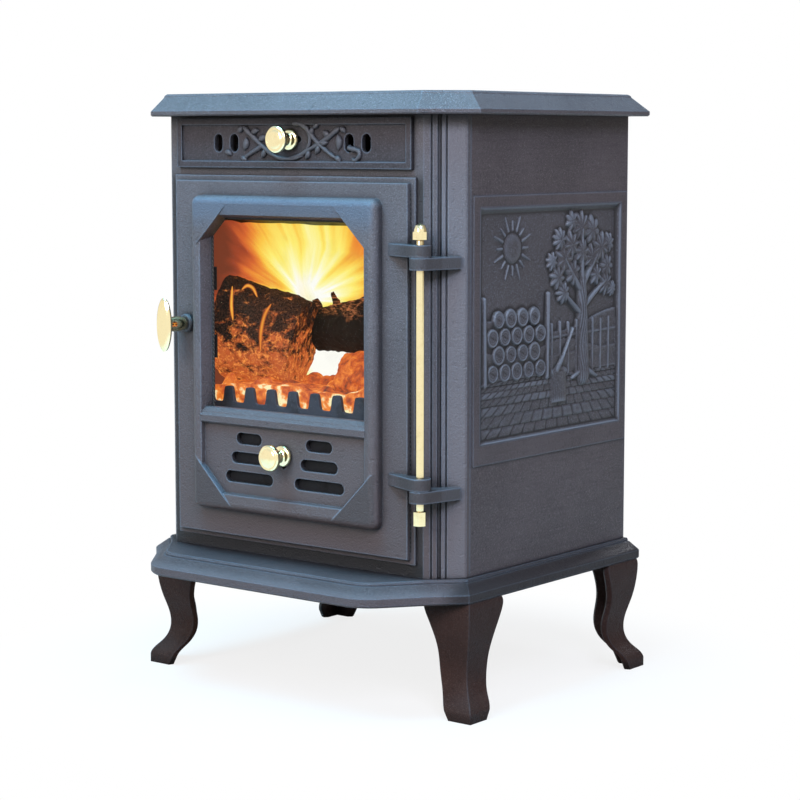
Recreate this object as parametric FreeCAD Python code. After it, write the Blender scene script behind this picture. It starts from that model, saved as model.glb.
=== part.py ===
"""Small cast-iron wood stove with a glazed fire door, drawn in millimetres.

X runs to the right seen from the front, the front faces -Y and Z is up. The pieces are
drawn about the middle of the body and then moved along Y, so that the origin lies on
the floor under the middle of the stove's overall depth.
"""
import FreeCAD, Part
import math
import os

Vector = FreeCAD.Vector

# Casing
BODY_WIDTH = 390.0
BODY_DEPTH = 314.0
BODY_HEIGHT = 448.5
CORNER_CANT = 30.0
WALL = 8.0
SIDE_SEAM = 5.0
LEG_HEIGHT = 117.0
CASTING_GAP = 0.3
SCREW_CLEARANCE = 0.1

# Base plate with the hearth in front
BASE_HEIGHT = 22.0
BASE_SKIN = 8.0
BASE_SIDE_LIP = 15.0
BASE_CANT_LIP = 21.5
BASE_REAR_LIP = 8.0
HEARTH_REACH = 68.0
HEARTH_JOIN = 185.0
HEARTH_SIDE_ANGLE = 52.0
HEARTH_CORNER_RADIUS = 45.0
BASE_LIP_HEIGHT = 9.0
BASE_BEVEL_TOP = 18.5
BASE_EASE = 1.6
BASE_BEVEL_SHARE = 0.36
BASE_POCKET_RIM = 55.0

# Top plate
TOP_HEIGHT = 22.5
TOP_SKIN = 8.0
TOP_REAR_SETBACK = 13.3
TOP_LIP = 21.3
TOP_LIP_HEIGHT = 5.0
TOP_UPPER_LIP = 7.4
TOP_BEVEL_DROP = 3.2
TOP_EASE = 1.4
TOP_POCKET_RIM = 14.0
BLANK_RADIUS = 74.0
BLANK_THICKNESS = 7.5
BLANK_LEDGE = 8.0
BLANK_RING_HEIGHT = 6.0
BLANK_REAR_MARGIN = 117.0
CLAMP_WIDTH = 22.0
CLAMP_HEIGHT = 6.0
CLAMP_BOLT_RADIUS = 4.0

# Pilaster flutes on the canted corners: distance from the front edge, width, depth
FLUTES = ((7.7, 2.0, 1.6), (15.5, 4.4, 3.2), (22.2, 2.2, 1.6))

# Door opening and door
DOOR_SIDE_MARGIN = 7.5
DOOR_BOTTOM_MARGIN = 13.0
DOOR_TOP_MARGIN = 60.1
DOOR_GAP = 0.5
DOOR_LIP_THICKNESS = 2.5
DOOR_THICKNESS = 8.0
DOOR_LIP_WIDTH = 5.5
APERTURE_OVERLAP_SIDE = 11.0
APERTURE_OVERLAP_END = 13.0

# Raised frame on the door: rounded edge, gentle facet, corner gussets, splayed window and air panel
FRAME_MARGIN_SIDE = 36.0
FRAME_MARGIN_BOTTOM = 32.0
FRAME_MARGIN_TOP = 20.4
FRAME_HEIGHT = 13.5
FRAME_EDGE_RADIUS = 8.0
FRAME_CORNER_RADIUS = 9.0
FACET_SIDE = 5.3
FACET_TOP = 11.2
FACET_BOTTOM = 9.5
FACET_DEPTH = 1.4
GUSSET_LEG = 47.0
GUSSET_END = 0.5
GUSSET_SIDE = 4.0
WINDOW_SPLAY = 3.5
WINDOW_SILL = 136.0
PANEL_DEPTH = 6.2
PANEL_WALL = 6.0
PANEL_DRAFT = 1.0
MID_RAIL_PROUD = 5.4
MID_RAIL_HEIGHT = 16.0
MID_RAIL_LAP = 2.0

# Glass and seals
GLASS_THICKNESS = 4.0
GASKET_THICKNESS = 2.0
GASKET_LAP = 1.5
GLASS_LAP = 7.0
GLASS_EDGE_GAP = 1.0
ROPE_WIDTH = 5.0
ROPE_DEPTH = 3.5
ROPE_SETBACK = 0.8
CLIP_SIZE = (16.0, 24.0, 2.0)
CLIP_SCREW_RADIUS = 2.0

# Primary air control in the door
SLOT_HEIGHT = 11.6
SLOT_PITCH = 20.0
SLOT_CENTRE_X = 46.5
SLOT_LENGTHS = (64.0, 48.0, 34.0)
SLOT_FIRST_Z = 68.3
PRIMARY_TRAVEL = 10.0
PRIMARY_SLOT_HEIGHT = 8.0
PRIMARY_KNOB_RISE = 27.0
SLIDER_THICKNESS = 3.0
SLIDER_MARGIN = 7.0
SLIDER_TOP_RIM = 2.0
SLIDE_CLEARANCE = 0.3
GUIDE_WIDTH = 7.5
GUIDE_POCKET_GAP = 2.0
GUIDE_LIP = 4.0
GUIDE_THICKNESS = 2.0
STEM_RADIUS = 2.5
STEM_CLEARANCE = 0.6

# Upper vent panel and secondary air control
VENT_SIDE_MARGIN = 11.5
VENT_TOP_MARGIN = 2.5
VENT_HEIGHT = 50.0
VENT_THICKNESS = 4.7
VENT_BORDER = 7.0
VENT_RECESS = 2.2
VENT_WINDOW_RIM = 4.0
OVAL_WIDTH = 11.0
OVAL_HEIGHT = 18.0
OVAL_CENTRES = (75.5, 97.0)
SECONDARY_TRAVEL = 11.0
SECONDARY_OVAL_WIDTH = 10.0
SECONDARY_SLIDER_HEIGHT = 25.0
SECONDARY_SLIDER_THICKNESS = 2.0
SECONDARY_END_MARGIN = 12.0
SECONDARY_KNOB_OFFSET = 3.5
VENT_SCREW_RADIUS = 2.0
VENT_SCREW_BITE = 3.0

# Brass knobs
KNOB_LENGTH = 25.8
KNOB_DISC_RADIUS = 13.6
KNOB_DISC_THICKNESS = 4.6
KNOB_DOME = 2.2
KNOB_NECK_RADIUS = 4.8
KNOB_FLANGE_RADIUS = 11.0
KNOB_FLANGE_THICKNESS = 4.2
KNOB_BORE_DEPTH = 14.0

# Handle and latch
HANDLE_EDGE_DISTANCE = 21.0
HANDLE_RISE = 222.3
HANDLE_BUSH_RADIUS = 9.5
HANDLE_BUSH_HEIGHT = 6.0
SPINDLE_RADIUS = 4.5
SPINDLE_CLEARANCE = 0.08
HANDLE_STEM = 31.0
HANDLE_STEM_RADIUS = 7.4
HANDLE_OVAL_HEIGHT = 56.0
HANDLE_OVAL_WIDTH = 20.0
HANDLE_OVAL_THICKNESS = 9.0
CAM_REACH = 22.0
CAM_WIDTH = 11.0
CAM_THICKNESS = 6.0
CAM_HUB_RIM = 1.5
CAM_CLEARANCE = 0.8
LATCH_NUT_RADIUS = 7.0
LATCH_NUT_HEIGHT = 6.0

# Hinge
HINGE_OUT = 17.0
HINGE_SIDE = 9.0
ROD_RADIUS = 4.0
ROD_CLEARANCE = 0.06
KNUCKLE_RADIUS = 10.5
KNUCKLE_HEIGHT = 11.8
KNUCKLE_GAP = 0.3
LOWER_KNUCKLE_RISE = 77.3
UPPER_KNUCKLE_DROP = 74.8
KNUCKLE_ARM = 44.0
KNUCKLE_SINK = 1.0
FRAME_ARM_REACH = 36.0
FRAME_ARM_START = 6.0
FRAME_ARM_END_HEIGHT = 4.0
CAP_NUT_RADIUS = 7.6
CAP_NUT_HEIGHT = 15.0
CAP_NUT_LIFT = 5.0
LOWER_NUT_RADIUS = 6.6
LOWER_NUT_HEIGHT = 13.5
LOWER_NUT_DROP = 8.5
NUT_CLEARANCE = 0.05

# Side panel relief field
BORDER_PROUD = 1.5
BORDER_BOTTOM = 108.0
BORDER_TOP_MARGIN = 78.0
FIELD_INSET_SIDE = 11.0
FIELD_INSET_BOTTOM = 20.0
FIELD_INSET_TOP = 11.5
FIELD_DEPTH = 4.0
BORDER_END_GAP = 3.0

# Legs: ridge offset along the outward diagonal and wing length at each height
LEG_SIDE_OUTSET = 20.5
LEG_FRONT_INSET = 9.5
LEG_REAR_OUTSET = 11.0
LEG_WALL = 9.0
LEG_TOE_HEIGHT = 9.0
LEG_TOE_WING = 27.0
LEG_SHAPE = ((0.0, 0.0, 32.0), (0.046, -2.5, 32.5), (0.102, -9.0, 31.8), (0.157, -15.5, 31.2),
             (0.269, -21.8, 32.0), (0.38, -22.0, 33.5), (0.444, -20.4, 34.5), (0.583, -14.8, 38.5),
             (0.824, -8.5, 51.0), (0.917, -7.6, 55.5), (1.0, -9.0, 54.0))
LEG_PAD_SIZE = 50.0
LEG_PAD_THICKNESS = 8.0

# Tie rods that clamp the legs, base, casing and top
TIE_ROD_RADIUS = 3.0
TIE_ROD_HOLE_GAP = 0.5
TIE_ROD_FRONT = (24.0, 31.0)
TIE_ROD_REAR = (19.0, 15.0)
TIE_BOSS_RADIUS = 8.0
TIE_ROD_TOP_BITE = 11.0
TIE_NUT_RADIUS = 6.0
TIE_NUT_HEIGHT = 5.0

# Flue
FLUE_BORE_RADIUS = 63.5
FLUE_WALL = 6.0
FLUE_HOLE_MARGIN = 2.0
FLUE_DROP = 90.5
FLUE_FLANGE_RADIUS = 78.0
FLUE_FLANGE_THICKNESS = 8.0
FLUE_SPIGOT = 42.0
FLUE_LUG_RADIUS = 12.0
FLUE_BOLT_RADIUS = 4.0
FLUE_BOLT_HEAD = 7.5
FLUE_BOLT_HEAD_HEIGHT = 5.5

# Firebox
GRATE_LEVEL = 125.0
GRATE_FRAME_THICKNESS = 10.0
GRATE_THICKNESS = 12.0
GRATE_REBATE = 6.0
GRATE_LEDGE = 6.0
GRATE_GAP = 1.0
GRATE_SLOT = 9.0
GRATE_BAR = 12.0
GRATE_RIM = 14.0
GRATE_SIDE_MARGIN = 63.0
GRATE_REAR_MARGIN = 49.0
LUG_LENGTH = 16.0
LUG_HEIGHT = 12.0
LUG_WIDTH = 24.0
BRICK_THICKNESS = 25.0
BRICK_FLUE_GAP = 3.5
BRICK_FRONT_MARGIN = 45.0
BRICK_REAR_MARGIN = 37.0
REAR_BRICK_SIDE_MARGIN = 45.0
BRICK_GAP = 1.5
BAFFLE_THICKNESS = 8.0
BAFFLE_FRONT_MARGIN = 72.0
BAFFLE_RISE = 52.0
BAFFLE_SEAT = 14.0
GUARD_THICKNESS = 6.0
GUARD_FRONT_MARGIN = 26.0
GUARD_SIDE_MARGIN = 67.0
GUARD_HEIGHT = 43.0
GUARD_NOTCH_DEPTH = 16.0
GUARD_PITCH = 29.0
GUARD_TOOTH_TOP = 12.5
GUARD_TOOTH_BASE = 18.5
PAN_REAR_MARGIN = 57.0
PAN_SIDE_MARGIN = 71.0
PAN_HEIGHT = 62.0
PAN_SHEET = 2.0
PAN_FRONT_MARGIN = 21.0
PAN_LIFT = 0.6
PAN_LIP_REACH = 9.0
PAN_LIP_WIDTH = 110.0
RUNNER_WIDTH = 10.0
RUNNER_SIDE_MARGIN = 103.0

HALF_WIDTH = BODY_WIDTH / 2
HALF_DEPTH = BODY_DEPTH / 2
BASE_TOP = LEG_HEIGHT + BASE_HEIGHT
BODY_TOP = BASE_TOP + BODY_HEIGHT
TOP_Z = BODY_TOP + TOP_HEIGHT
FRONT = -HALF_DEPTH
FRAME_BACK = FRONT + WALL
INSIDE_X = HALF_WIDTH - WALL
TAN_22 = math.tan(math.radians(22.5))
ROOT_2 = math.sqrt(2.0)

DOOR_HEIGHT = BODY_HEIGHT - DOOR_BOTTOM_MARGIN - DOOR_TOP_MARGIN
DOOR_HALF = HALF_WIDTH - CORNER_CANT - DOOR_SIDE_MARGIN
DOOR_BOTTOM = BASE_TOP + DOOR_BOTTOM_MARGIN
DOOR_TOP = DOOR_BOTTOM + DOOR_HEIGHT
DOOR_BACK = FRONT - DOOR_GAP
DOOR_FACE = DOOR_BACK - DOOR_THICKNESS
DOOR_FRAME_HALF = DOOR_HALF - FRAME_MARGIN_SIDE
DOOR_FRAME_BOTTOM = DOOR_BOTTOM + FRAME_MARGIN_BOTTOM
DOOR_FRAME_TOP = DOOR_TOP - FRAME_MARGIN_TOP
DOOR_FRAME_FACE = DOOR_FACE - FRAME_HEIGHT
APERTURE_HALF = DOOR_HALF - APERTURE_OVERLAP_SIDE
APERTURE_BOTTOM = DOOR_BOTTOM + APERTURE_OVERLAP_END
APERTURE_TOP = DOOR_TOP - APERTURE_OVERLAP_END
FACET_X = DOOR_FRAME_HALF - FRAME_EDGE_RADIUS - FACET_SIDE
FACET_LOW = DOOR_FRAME_BOTTOM + FRAME_EDGE_RADIUS + FACET_BOTTOM
FACET_HIGH = DOOR_FRAME_TOP - FRAME_EDGE_RADIUS - FACET_TOP
WINDOW_HALF = FACET_X - WINDOW_SPLAY
WINDOW_BOTTOM = DOOR_BOTTOM + WINDOW_SILL
WINDOW_TOP = FACET_HIGH - WINDOW_SPLAY
PANEL_FACE = DOOR_FRAME_FACE + PANEL_DEPTH
PANEL_BACK = PANEL_FACE + PANEL_WALL
GLASS_FRONT = DOOR_BACK - GLASS_THICKNESS
GASKET_FRONT = GLASS_FRONT - GASKET_THICKNESS
HANDLE_X = -(DOOR_HALF - HANDLE_EDGE_DISTANCE)
HANDLE_Z = DOOR_BOTTOM + HANDLE_RISE
PRIMARY_Z = DOOR_BOTTOM + SLOT_FIRST_Z + PRIMARY_KNOB_RISE

KNUCKLE_RISES = (LOWER_KNUCKLE_RISE, DOOR_HEIGHT - UPPER_KNUCKLE_DROP)
HINGE_X = HALF_WIDTH - CORNER_CANT + HINGE_SIDE
HINGE_Y = FRONT - HINGE_OUT

VENT_HALF = HALF_WIDTH - CORNER_CANT - VENT_SIDE_MARGIN
VENT_TOP = BODY_TOP - VENT_TOP_MARGIN
VENT_BOTTOM = VENT_TOP - VENT_HEIGHT
VENT_FACE = FRONT - VENT_THICKNESS
VENT_FLOOR = VENT_FACE + VENT_RECESS
VENT_MIDDLE = (VENT_TOP + VENT_BOTTOM) / 2
VENT_KNOB_Z = VENT_MIDDLE + SECONDARY_KNOB_OFFSET

BORDER_HEIGHT = BODY_HEIGHT - BORDER_BOTTOM - BORDER_TOP_MARGIN
LEG_TOE_X = HALF_WIDTH + LEG_SIDE_OUTSET
LEG_FRONT_TOE_Y = HALF_DEPTH - LEG_FRONT_INSET
LEG_REAR_TOE_Y = HALF_DEPTH + LEG_REAR_OUTSET
BLANK_CENTRE_Y = HALF_DEPTH - BLANK_REAR_MARGIN

FLUE_Z = BODY_TOP - FLUE_DROP
GUARD_FRONT = HALF_DEPTH - GUARD_FRONT_MARGIN
GUARD_HALF_WIDTH = HALF_WIDTH - GUARD_SIDE_MARGIN
GRATE_FRAME_BOTTOM = BASE_TOP + GRATE_LEVEL - GRATE_FRAME_THICKNESS
GRATE_FRAME_TOP = BASE_TOP + GRATE_LEVEL
GRATE_FRONT = GUARD_FRONT - GUARD_THICKNESS - GRATE_LEDGE - GRATE_GAP
GRATE_REAR = HALF_DEPTH - GRATE_REAR_MARGIN
GRATE_OPENING_X = HALF_WIDTH - GRATE_SIDE_MARGIN
BRICK_TOP = FLUE_Z - FLUE_BORE_RADIUS - BRICK_FLUE_GAP
BRICK_FRONT = HALF_DEPTH - BRICK_FRONT_MARGIN
BRICK_REAR = HALF_DEPTH - BRICK_REAR_MARGIN
REAR_BRICK_HALF_WIDTH = HALF_WIDTH - REAR_BRICK_SIDE_MARGIN
BAFFLE_FRONT = HALF_DEPTH - BAFFLE_FRONT_MARGIN
BRICK_OUTER = INSIDE_X - BRICK_GAP
BRICK_INNER = BRICK_OUTER - BRICK_THICKNESS
BACK_INSIDE = HALF_DEPTH - WALL
PAN_BOTTOM = APERTURE_BOTTOM + PAN_LIFT
PAN_FRONT = HALF_DEPTH - PAN_FRONT_MARGIN
PAN_LENGTH = PAN_FRONT + HALF_DEPTH - PAN_REAR_MARGIN
PAN_WIDTH = 2 * (HALF_WIDTH - PAN_SIDE_MARGIN)
RUNNER_SPREAD = HALF_WIDTH - RUNNER_SIDE_MARGIN

FRONT_REACH = HALF_DEPTH + HEARTH_REACH
REAR_REACH = HALF_DEPTH + FLUE_FLANGE_THICKNESS + FLUE_SPIGOT
ORIGIN_SHIFT = (FRONT_REACH - REAR_REACH) / 2


def box(x0, x1, y0, y1, z0, z1):
    """A block between two opposite corners."""
    return Part.makeBox(x1 - x0, y1 - y0, z1 - z0, Vector(x0, y0, z0))


def cylinder(radius, start, axis, length):
    """A round bar from a start point along an axis."""
    return Part.makeCylinder(radius, length, Vector(*start), Vector(*axis))


def plate_xy(points, z0, z1):
    """A plan outline raised from z0 to z1."""
    corners = [Vector(x, y, z0) for x, y in points]
    face = Part.Face(Part.makePolygon(corners + corners[:1]))
    return face.extrude(Vector(0, 0, z1 - z0))


def plate_xz(points, y0, y1):
    """A front-view outline carried from y0 to y1."""
    corners = [Vector(x, y0, z) for x, z in points]
    face = Part.Face(Part.makePolygon(corners + corners[:1]))
    return face.extrude(Vector(0, y1 - y0, 0))


def plate_yz(points, x0, x1):
    """A side-view outline carried from x0 to x1."""
    corners = [Vector(x0, y, z) for y, z in points]
    face = Part.Face(Part.makePolygon(corners + corners[:1]))
    return face.extrude(Vector(x1 - x0, 0, 0))


def rounded_plate_xz(x0, x1, z0, z1, radius, y0, y1):
    """A rectangle with round corners in the front view, carried from y0 to y1."""
    block = box(x0, x1, y0, y1, z0, z1)
    edges = [e for e in block.Edges if abs(e.tangentAt(e.FirstParameter).y) > 0.9]
    return block.makeFillet(radius, edges)


def slot_xz(x, z, width, height, y0, y1):
    """A slot with round ends, upright or lying, carried from y0 to y1."""
    radius = min(width, height) / 2 * 0.999
    return rounded_plate_xz(x - width / 2, x + width / 2, z - height / 2, z + height / 2, radius, y0, y1)


def turned(profile, seat, direction):
    """A turned piece: profile of radius and height, seated at a point, rising along a direction."""
    points = [Vector(r, 0, h) for r, h in profile]
    face = Part.Face(Part.makePolygon(points + points[:1]))
    solid = face.revolve(Vector(0, 0, 0), Vector(0, 0, 1), 360)
    turn = FreeCAD.Rotation(Vector(0, 0, 1), Vector(*direction))
    solid.Placement = FreeCAD.Placement(Vector(*seat), turn)
    return solid


def hexagon(radius, start, axis, length):
    """A six-sided nut or bolt head from a start point along an axis."""
    points = [Vector(radius * math.cos(math.radians(60 * i)), radius * math.sin(math.radians(60 * i)), 0)
              for i in range(6)]
    solid = Part.Face(Part.makePolygon(points + points[:1])).extrude(Vector(0, 0, length))
    turn = FreeCAD.Rotation(Vector(0, 0, 1), Vector(*axis))
    solid.Placement = FreeCAD.Placement(Vector(*start), turn)
    return solid


def fuse(first, *others):
    """Join touching shapes into one clean solid."""
    return first.multiFuse(list(others)).removeSplitter()


def mirror_x(shape):
    """The left-hand copy of a right-hand shape."""
    return shape.mirror(Vector(0, 0, 0), Vector(1, 0, 0))


def meet(p, p_dir, q, q_dir):
    """Where two plan lines cross."""
    cross = p_dir[0] * q_dir[1] - p_dir[1] * q_dir[0]
    t = ((q[0] - p[0]) * q_dir[1] - (q[1] - p[1]) * q_dir[0]) / cross
    return (p[0] + t * p_dir[0], p[1] + t * p_dir[1])


def body_outline(overhang, rear_setback=0.0):
    """Plan of the casing with canted front corners, grown by an overhang."""
    side = HALF_WIDTH + overhang
    rear = HALF_DEPTH + overhang - rear_setback
    corner_y = FRONT + CORNER_CANT - overhang * TAN_22
    corner_x = HALF_WIDTH - CORNER_CANT + overhang * TAN_22
    front = FRONT - overhang
    right = [(corner_x, front), (side, corner_y), (side, rear)]
    left = [(-x, y) for x, y in reversed(right)]
    return right + left


def tie_rod_places():
    """Plan positions of the four tie rods."""
    front_x = HALF_WIDTH - TIE_ROD_FRONT[0]
    front_y = FRONT + TIE_ROD_FRONT[1]
    rear_x = HALF_WIDTH - TIE_ROD_REAR[0]
    rear_y = HALF_DEPTH - TIE_ROD_REAR[1]
    return [(front_x, front_y), (-front_x, front_y), (rear_x, rear_y), (-rear_x, rear_y)]


def base_outline(share, z):
    """Plan of the base at a share of its full overhang, with the hearth's round front corners."""
    side = HALF_WIDTH + BASE_SIDE_LIP * share
    rear = HALF_DEPTH + BASE_REAR_LIP * share
    cant_shift = BASE_CANT_LIP * share / ROOT_2
    cant_point = (HALF_WIDTH + cant_shift, FRONT + CORNER_CANT - cant_shift)
    cant_dir = (1.0, 1.0)
    angle = math.radians(HEARTH_SIDE_ANGLE)
    inset = BASE_CANT_LIP * (1.0 - share)
    full_shift = BASE_CANT_LIP / ROOT_2
    join = meet((HALF_WIDTH + full_shift, FRONT + CORNER_CANT - full_shift), cant_dir, (HEARTH_JOIN, 0.0),
                (0.0, 1.0))
    side_dir = (math.cos(angle), math.sin(angle))
    side_point = (join[0] - inset * side_dir[1], join[1] + inset * side_dir[0])
    front = FRONT - HEARTH_REACH + inset
    a = meet(cant_point, cant_dir, (side, 0.0), (0.0, 1.0))
    b = meet(cant_point, cant_dir, side_point, side_dir)
    corner = meet(side_point, side_dir, (0.0, front), (1.0, 0.0))
    radius = HEARTH_CORNER_RADIUS - inset
    run = radius * math.tan(angle / 2)
    c = (corner[0] + run * side_dir[0], corner[1] + run * side_dir[1])
    d = (corner[0] - run, front)
    half = angle / 2
    mid = (d[0] + radius * math.sin(half), front + radius * (1 - math.cos(half)))
    right = [Vector(x, y, z) for x, y in ((side, rear), a, b, c)]
    left = [Vector(-v.x, v.y, z) for v in reversed(right)]
    front_right, front_left = Vector(d[0], d[1], z), Vector(-d[0], d[1], z)
    arc_right = Part.Arc(right[3], Vector(mid[0], mid[1], z), front_right)
    arc_left = Part.Arc(front_left, Vector(-mid[0], mid[1], z), left[0])
    edges = [Part.makeLine(right[i], right[i + 1]) for i in range(3)]
    edges += [arc_right.toShape(), Part.makeLine(front_right, front_left), arc_left.toShape()]
    edges += [Part.makeLine(left[i], left[i + 1]) for i in range(3)]
    edges.append(Part.makeLine(left[3], right[0]))
    return Part.Wire(edges)


def base_plate():
    """Moulded base casting: a bevelled lip all round, hollow below, with runners for the ash pan."""
    ease = BASE_EASE / BASE_CANT_LIP
    inner = BASE_BEVEL_SHARE
    profile = ((1.0 - ease, 0.0), (1.0, BASE_EASE), (1.0, BASE_LIP_HEIGHT),
               (1.0 - ease, BASE_LIP_HEIGHT + BASE_EASE),
               (inner, BASE_BEVEL_TOP), (inner - ease, BASE_BEVEL_TOP), (inner - ease,
                                                                         BASE_HEIGHT - BASE_EASE),
               (inner - 2 * ease, BASE_HEIGHT))
    wires = [base_outline(share, LEG_HEIGHT + height) for share, height in profile]
    solid = Part.makeLoft(wires, True, True)
    pocket_x = HALF_WIDTH - BASE_POCKET_RIM
    pocket_top = BASE_TOP - BASE_SKIN
    pocket = box(-pocket_x, pocket_x, FRONT - HEARTH_REACH / 2, HALF_DEPTH - WALL, LEG_HEIGHT - 1, pocket_top)
    solid = solid.cut(pocket)
    runners = []
    for side in (-1, 1):
        x = side * RUNNER_SPREAD
        runners.append(box(x - RUNNER_WIDTH / 2, x + RUNNER_WIDTH / 2, -PAN_FRONT, -PAN_FRONT + PAN_LENGTH,
                           BASE_TOP - 1, PAN_BOTTOM))
    solid = fuse(solid, *runners)
    holes = [cylinder(TIE_ROD_RADIUS + TIE_ROD_HOLE_GAP, (x, y, LEG_HEIGHT - 1), (0, 0, 1), BASE_HEIGHT + 2)
             for x, y in tie_rod_places()]
    return solid.cut(Part.makeCompound(holes))


def knuckle(arm_points, z0):
    """A hinge knuckle: a barrel round the rod joined to an arm, bored for the rod."""
    barrel = cylinder(KNUCKLE_RADIUS, (HINGE_X, HINGE_Y, z0), (0, 0, 1), KNUCKLE_HEIGHT)
    arm = plate_xy(arm_points, z0, z0 + KNUCKLE_HEIGHT)
    return fuse(barrel, arm)


def rod_bore():
    """The bore for the hinge rod through every knuckle."""
    return cylinder(ROD_RADIUS + ROD_CLEARANCE, (HINGE_X, HINGE_Y, BASE_TOP), (0, 0, 1), BODY_HEIGHT)


def tangent_point(target, side):
    """Point on the barrel where a line to a target touches it, on the chosen side."""
    dx, dy = target[0] - HINGE_X, target[1] - HINGE_Y
    distance = math.hypot(dx, dy)
    angle = math.atan2(dy, dx) + side * math.acos(KNUCKLE_RADIUS / distance)
    return (HINGE_X + KNUCKLE_RADIUS * math.cos(angle), HINGE_Y + KNUCKLE_RADIUS * math.sin(angle))


def cant_point(along, out):
    """Plan point on the right canted corner, along it from its front edge and out from its face."""
    x = HALF_WIDTH - CORNER_CANT + along / ROOT_2 + out / ROOT_2
    y = FRONT + along / ROOT_2 - out / ROOT_2
    return (x, y)


def frame_knuckle(z0):
    """Lug cast on the front frame, from the canted corner to the hinge rod."""
    outer = cant_point(FRAME_ARM_REACH, FRAME_ARM_END_HEIGHT)
    outer_root = cant_point(FRAME_ARM_REACH, -KNUCKLE_SINK)
    inner_root = cant_point(FRAME_ARM_START, -KNUCKLE_SINK)
    points = [tangent_point(outer, -1), outer, outer_root, inner_root, tangent_point(inner_root, 1)]
    return knuckle(points, z0)


def door_knuckle(z0):
    """Lug cast on the door's face, tapering into it away from the hinge rod."""
    tip = (HINGE_X - KNUCKLE_ARM, DOOR_FACE - KNUCKLE_SINK)
    root = (HINGE_X - KNUCKLE_ARM, DOOR_FACE + KNUCKLE_SINK)
    edge = DOOR_HALF - DOOR_LIP_WIDTH - 1.0
    heel = (edge, DOOR_FACE + KNUCKLE_SINK)
    heel_out = (edge, DOOR_FACE - KNUCKLE_SINK)
    inner = (HINGE_X, HINGE_Y + KNUCKLE_RADIUS * 0.9)
    points = [tip, root, heel, heel_out, inner, (HINGE_X, HINGE_Y), tangent_point(tip, 1)]
    return knuckle(points, z0)


def flute_grooves():
    """V-shaped flutes down the right canted corner."""
    grooves = []
    for along, width, depth in FLUTES:
        points = [cant_point(along - width / 2, 0.5), cant_point(along - width / 4, -depth),
                  cant_point(along + width / 4, -depth), cant_point(along + width / 2, 0.5)]
        grooves.append(plate_xy(points, BASE_TOP - 1, BODY_TOP + 1))
    return grooves


def front_frame():
    """Front casting with fluted canted corners, the two openings and the hinge lugs."""
    seam = FRONT + CORNER_CANT + SIDE_SEAM
    corner_in = FRONT + CORNER_CANT + WALL * TAN_22
    front_in = HALF_WIDTH - CORNER_CANT - WALL * TAN_22
    outer = [(HALF_WIDTH - CORNER_CANT, FRONT), (HALF_WIDTH, FRONT + CORNER_CANT), (HALF_WIDTH, seam)]
    inner = [(INSIDE_X, seam), (INSIDE_X, corner_in), (front_in, FRAME_BACK)]
    right = outer + inner
    left = [(-x, y) for x, y in reversed(right)]
    solid = plate_xy(right + left, BASE_TOP, BODY_TOP)
    grooves = flute_grooves()
    solid = solid.cut(Part.makeCompound(grooves + [mirror_x(g) for g in grooves]))
    lugs = [frame_knuckle(DOOR_BOTTOM + rise - KNUCKLE_HEIGHT - KNUCKLE_GAP) for rise in KNUCKLE_RISES]
    solid = fuse(solid, *lugs)
    opening = box(-APERTURE_HALF, APERTURE_HALF, FRONT - 1, FRAME_BACK + 1, APERTURE_BOTTOM, APERTURE_TOP)
    near = OVAL_CENTRES[0] - OVAL_WIDTH / 2 - VENT_WINDOW_RIM
    far = OVAL_CENTRES[-1] + OVAL_WIDTH / 2 + VENT_WINDOW_RIM
    rise = OVAL_HEIGHT / 2 + VENT_WINDOW_RIM
    window = box(near, far, FRONT - 1, FRAME_BACK + 1, VENT_MIDDLE - rise, VENT_MIDDLE + rise)
    holes = [cylinder(VENT_SCREW_RADIUS + SCREW_CLEARANCE, (x, FRONT - 1, VENT_MIDDLE), (0, 1, 0), WALL + 2)
             for x in vent_screw_places()]
    return solid.cut(Part.makeCompound([opening, window, mirror_x(window), secondary_pocket(),
                                        rod_bore()] + holes))


def side_panel():
    """Right side casting: a raised border round a sunk field, with lugs inside."""
    seam = FRONT + CORNER_CANT + SIDE_SEAM
    front = seam + CASTING_GAP
    solid = box(INSIDE_X, HALF_WIDTH, front, HALF_DEPTH, BASE_TOP, BODY_TOP)
    border_z = BASE_TOP + BORDER_BOTTOM
    border_y = (front + BORDER_END_GAP, HALF_DEPTH - BORDER_END_GAP)
    border = box(HALF_WIDTH - 1, HALF_WIDTH + BORDER_PROUD, border_y[0], border_y[1], border_z,
                 border_z + BORDER_HEIGHT)
    slope = baffle_slope()
    lug_y = -BAFFLE_FRONT + LUG_WIDTH
    top_front = baffle_underside(lug_y - LUG_WIDTH / 2)
    top_rear = baffle_underside(lug_y + LUG_WIDTH / 2)
    points = [(lug_y - LUG_WIDTH / 2, top_front), (lug_y + LUG_WIDTH / 2, top_rear),
              (lug_y + LUG_WIDTH / 2, top_rear - LUG_HEIGHT),
              (lug_y - LUG_WIDTH / 2, top_rear - LUG_HEIGHT - slope)]
    lugs = [plate_yz(points, INSIDE_X - LUG_LENGTH, INSIDE_X + 1)]
    for y in (-BRICK_FRONT + LUG_WIDTH, BRICK_REAR - LUG_WIDTH):
        lugs.append(box(INSIDE_X - LUG_LENGTH, INSIDE_X + 1, y - LUG_WIDTH / 2, y + LUG_WIDTH / 2,
                        GRATE_FRAME_BOTTOM - LUG_HEIGHT, GRATE_FRAME_BOTTOM))
    solid = fuse(solid, border, *lugs)
    field = box(HALF_WIDTH + BORDER_PROUD - FIELD_DEPTH, HALF_WIDTH + BORDER_PROUD + 1,
                border_y[0] + FIELD_INSET_SIDE, border_y[1] - FIELD_INSET_SIDE,
                border_z + FIELD_INSET_BOTTOM, border_z + BORDER_HEIGHT - FIELD_INSET_TOP)
    return solid.cut(field)


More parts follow.
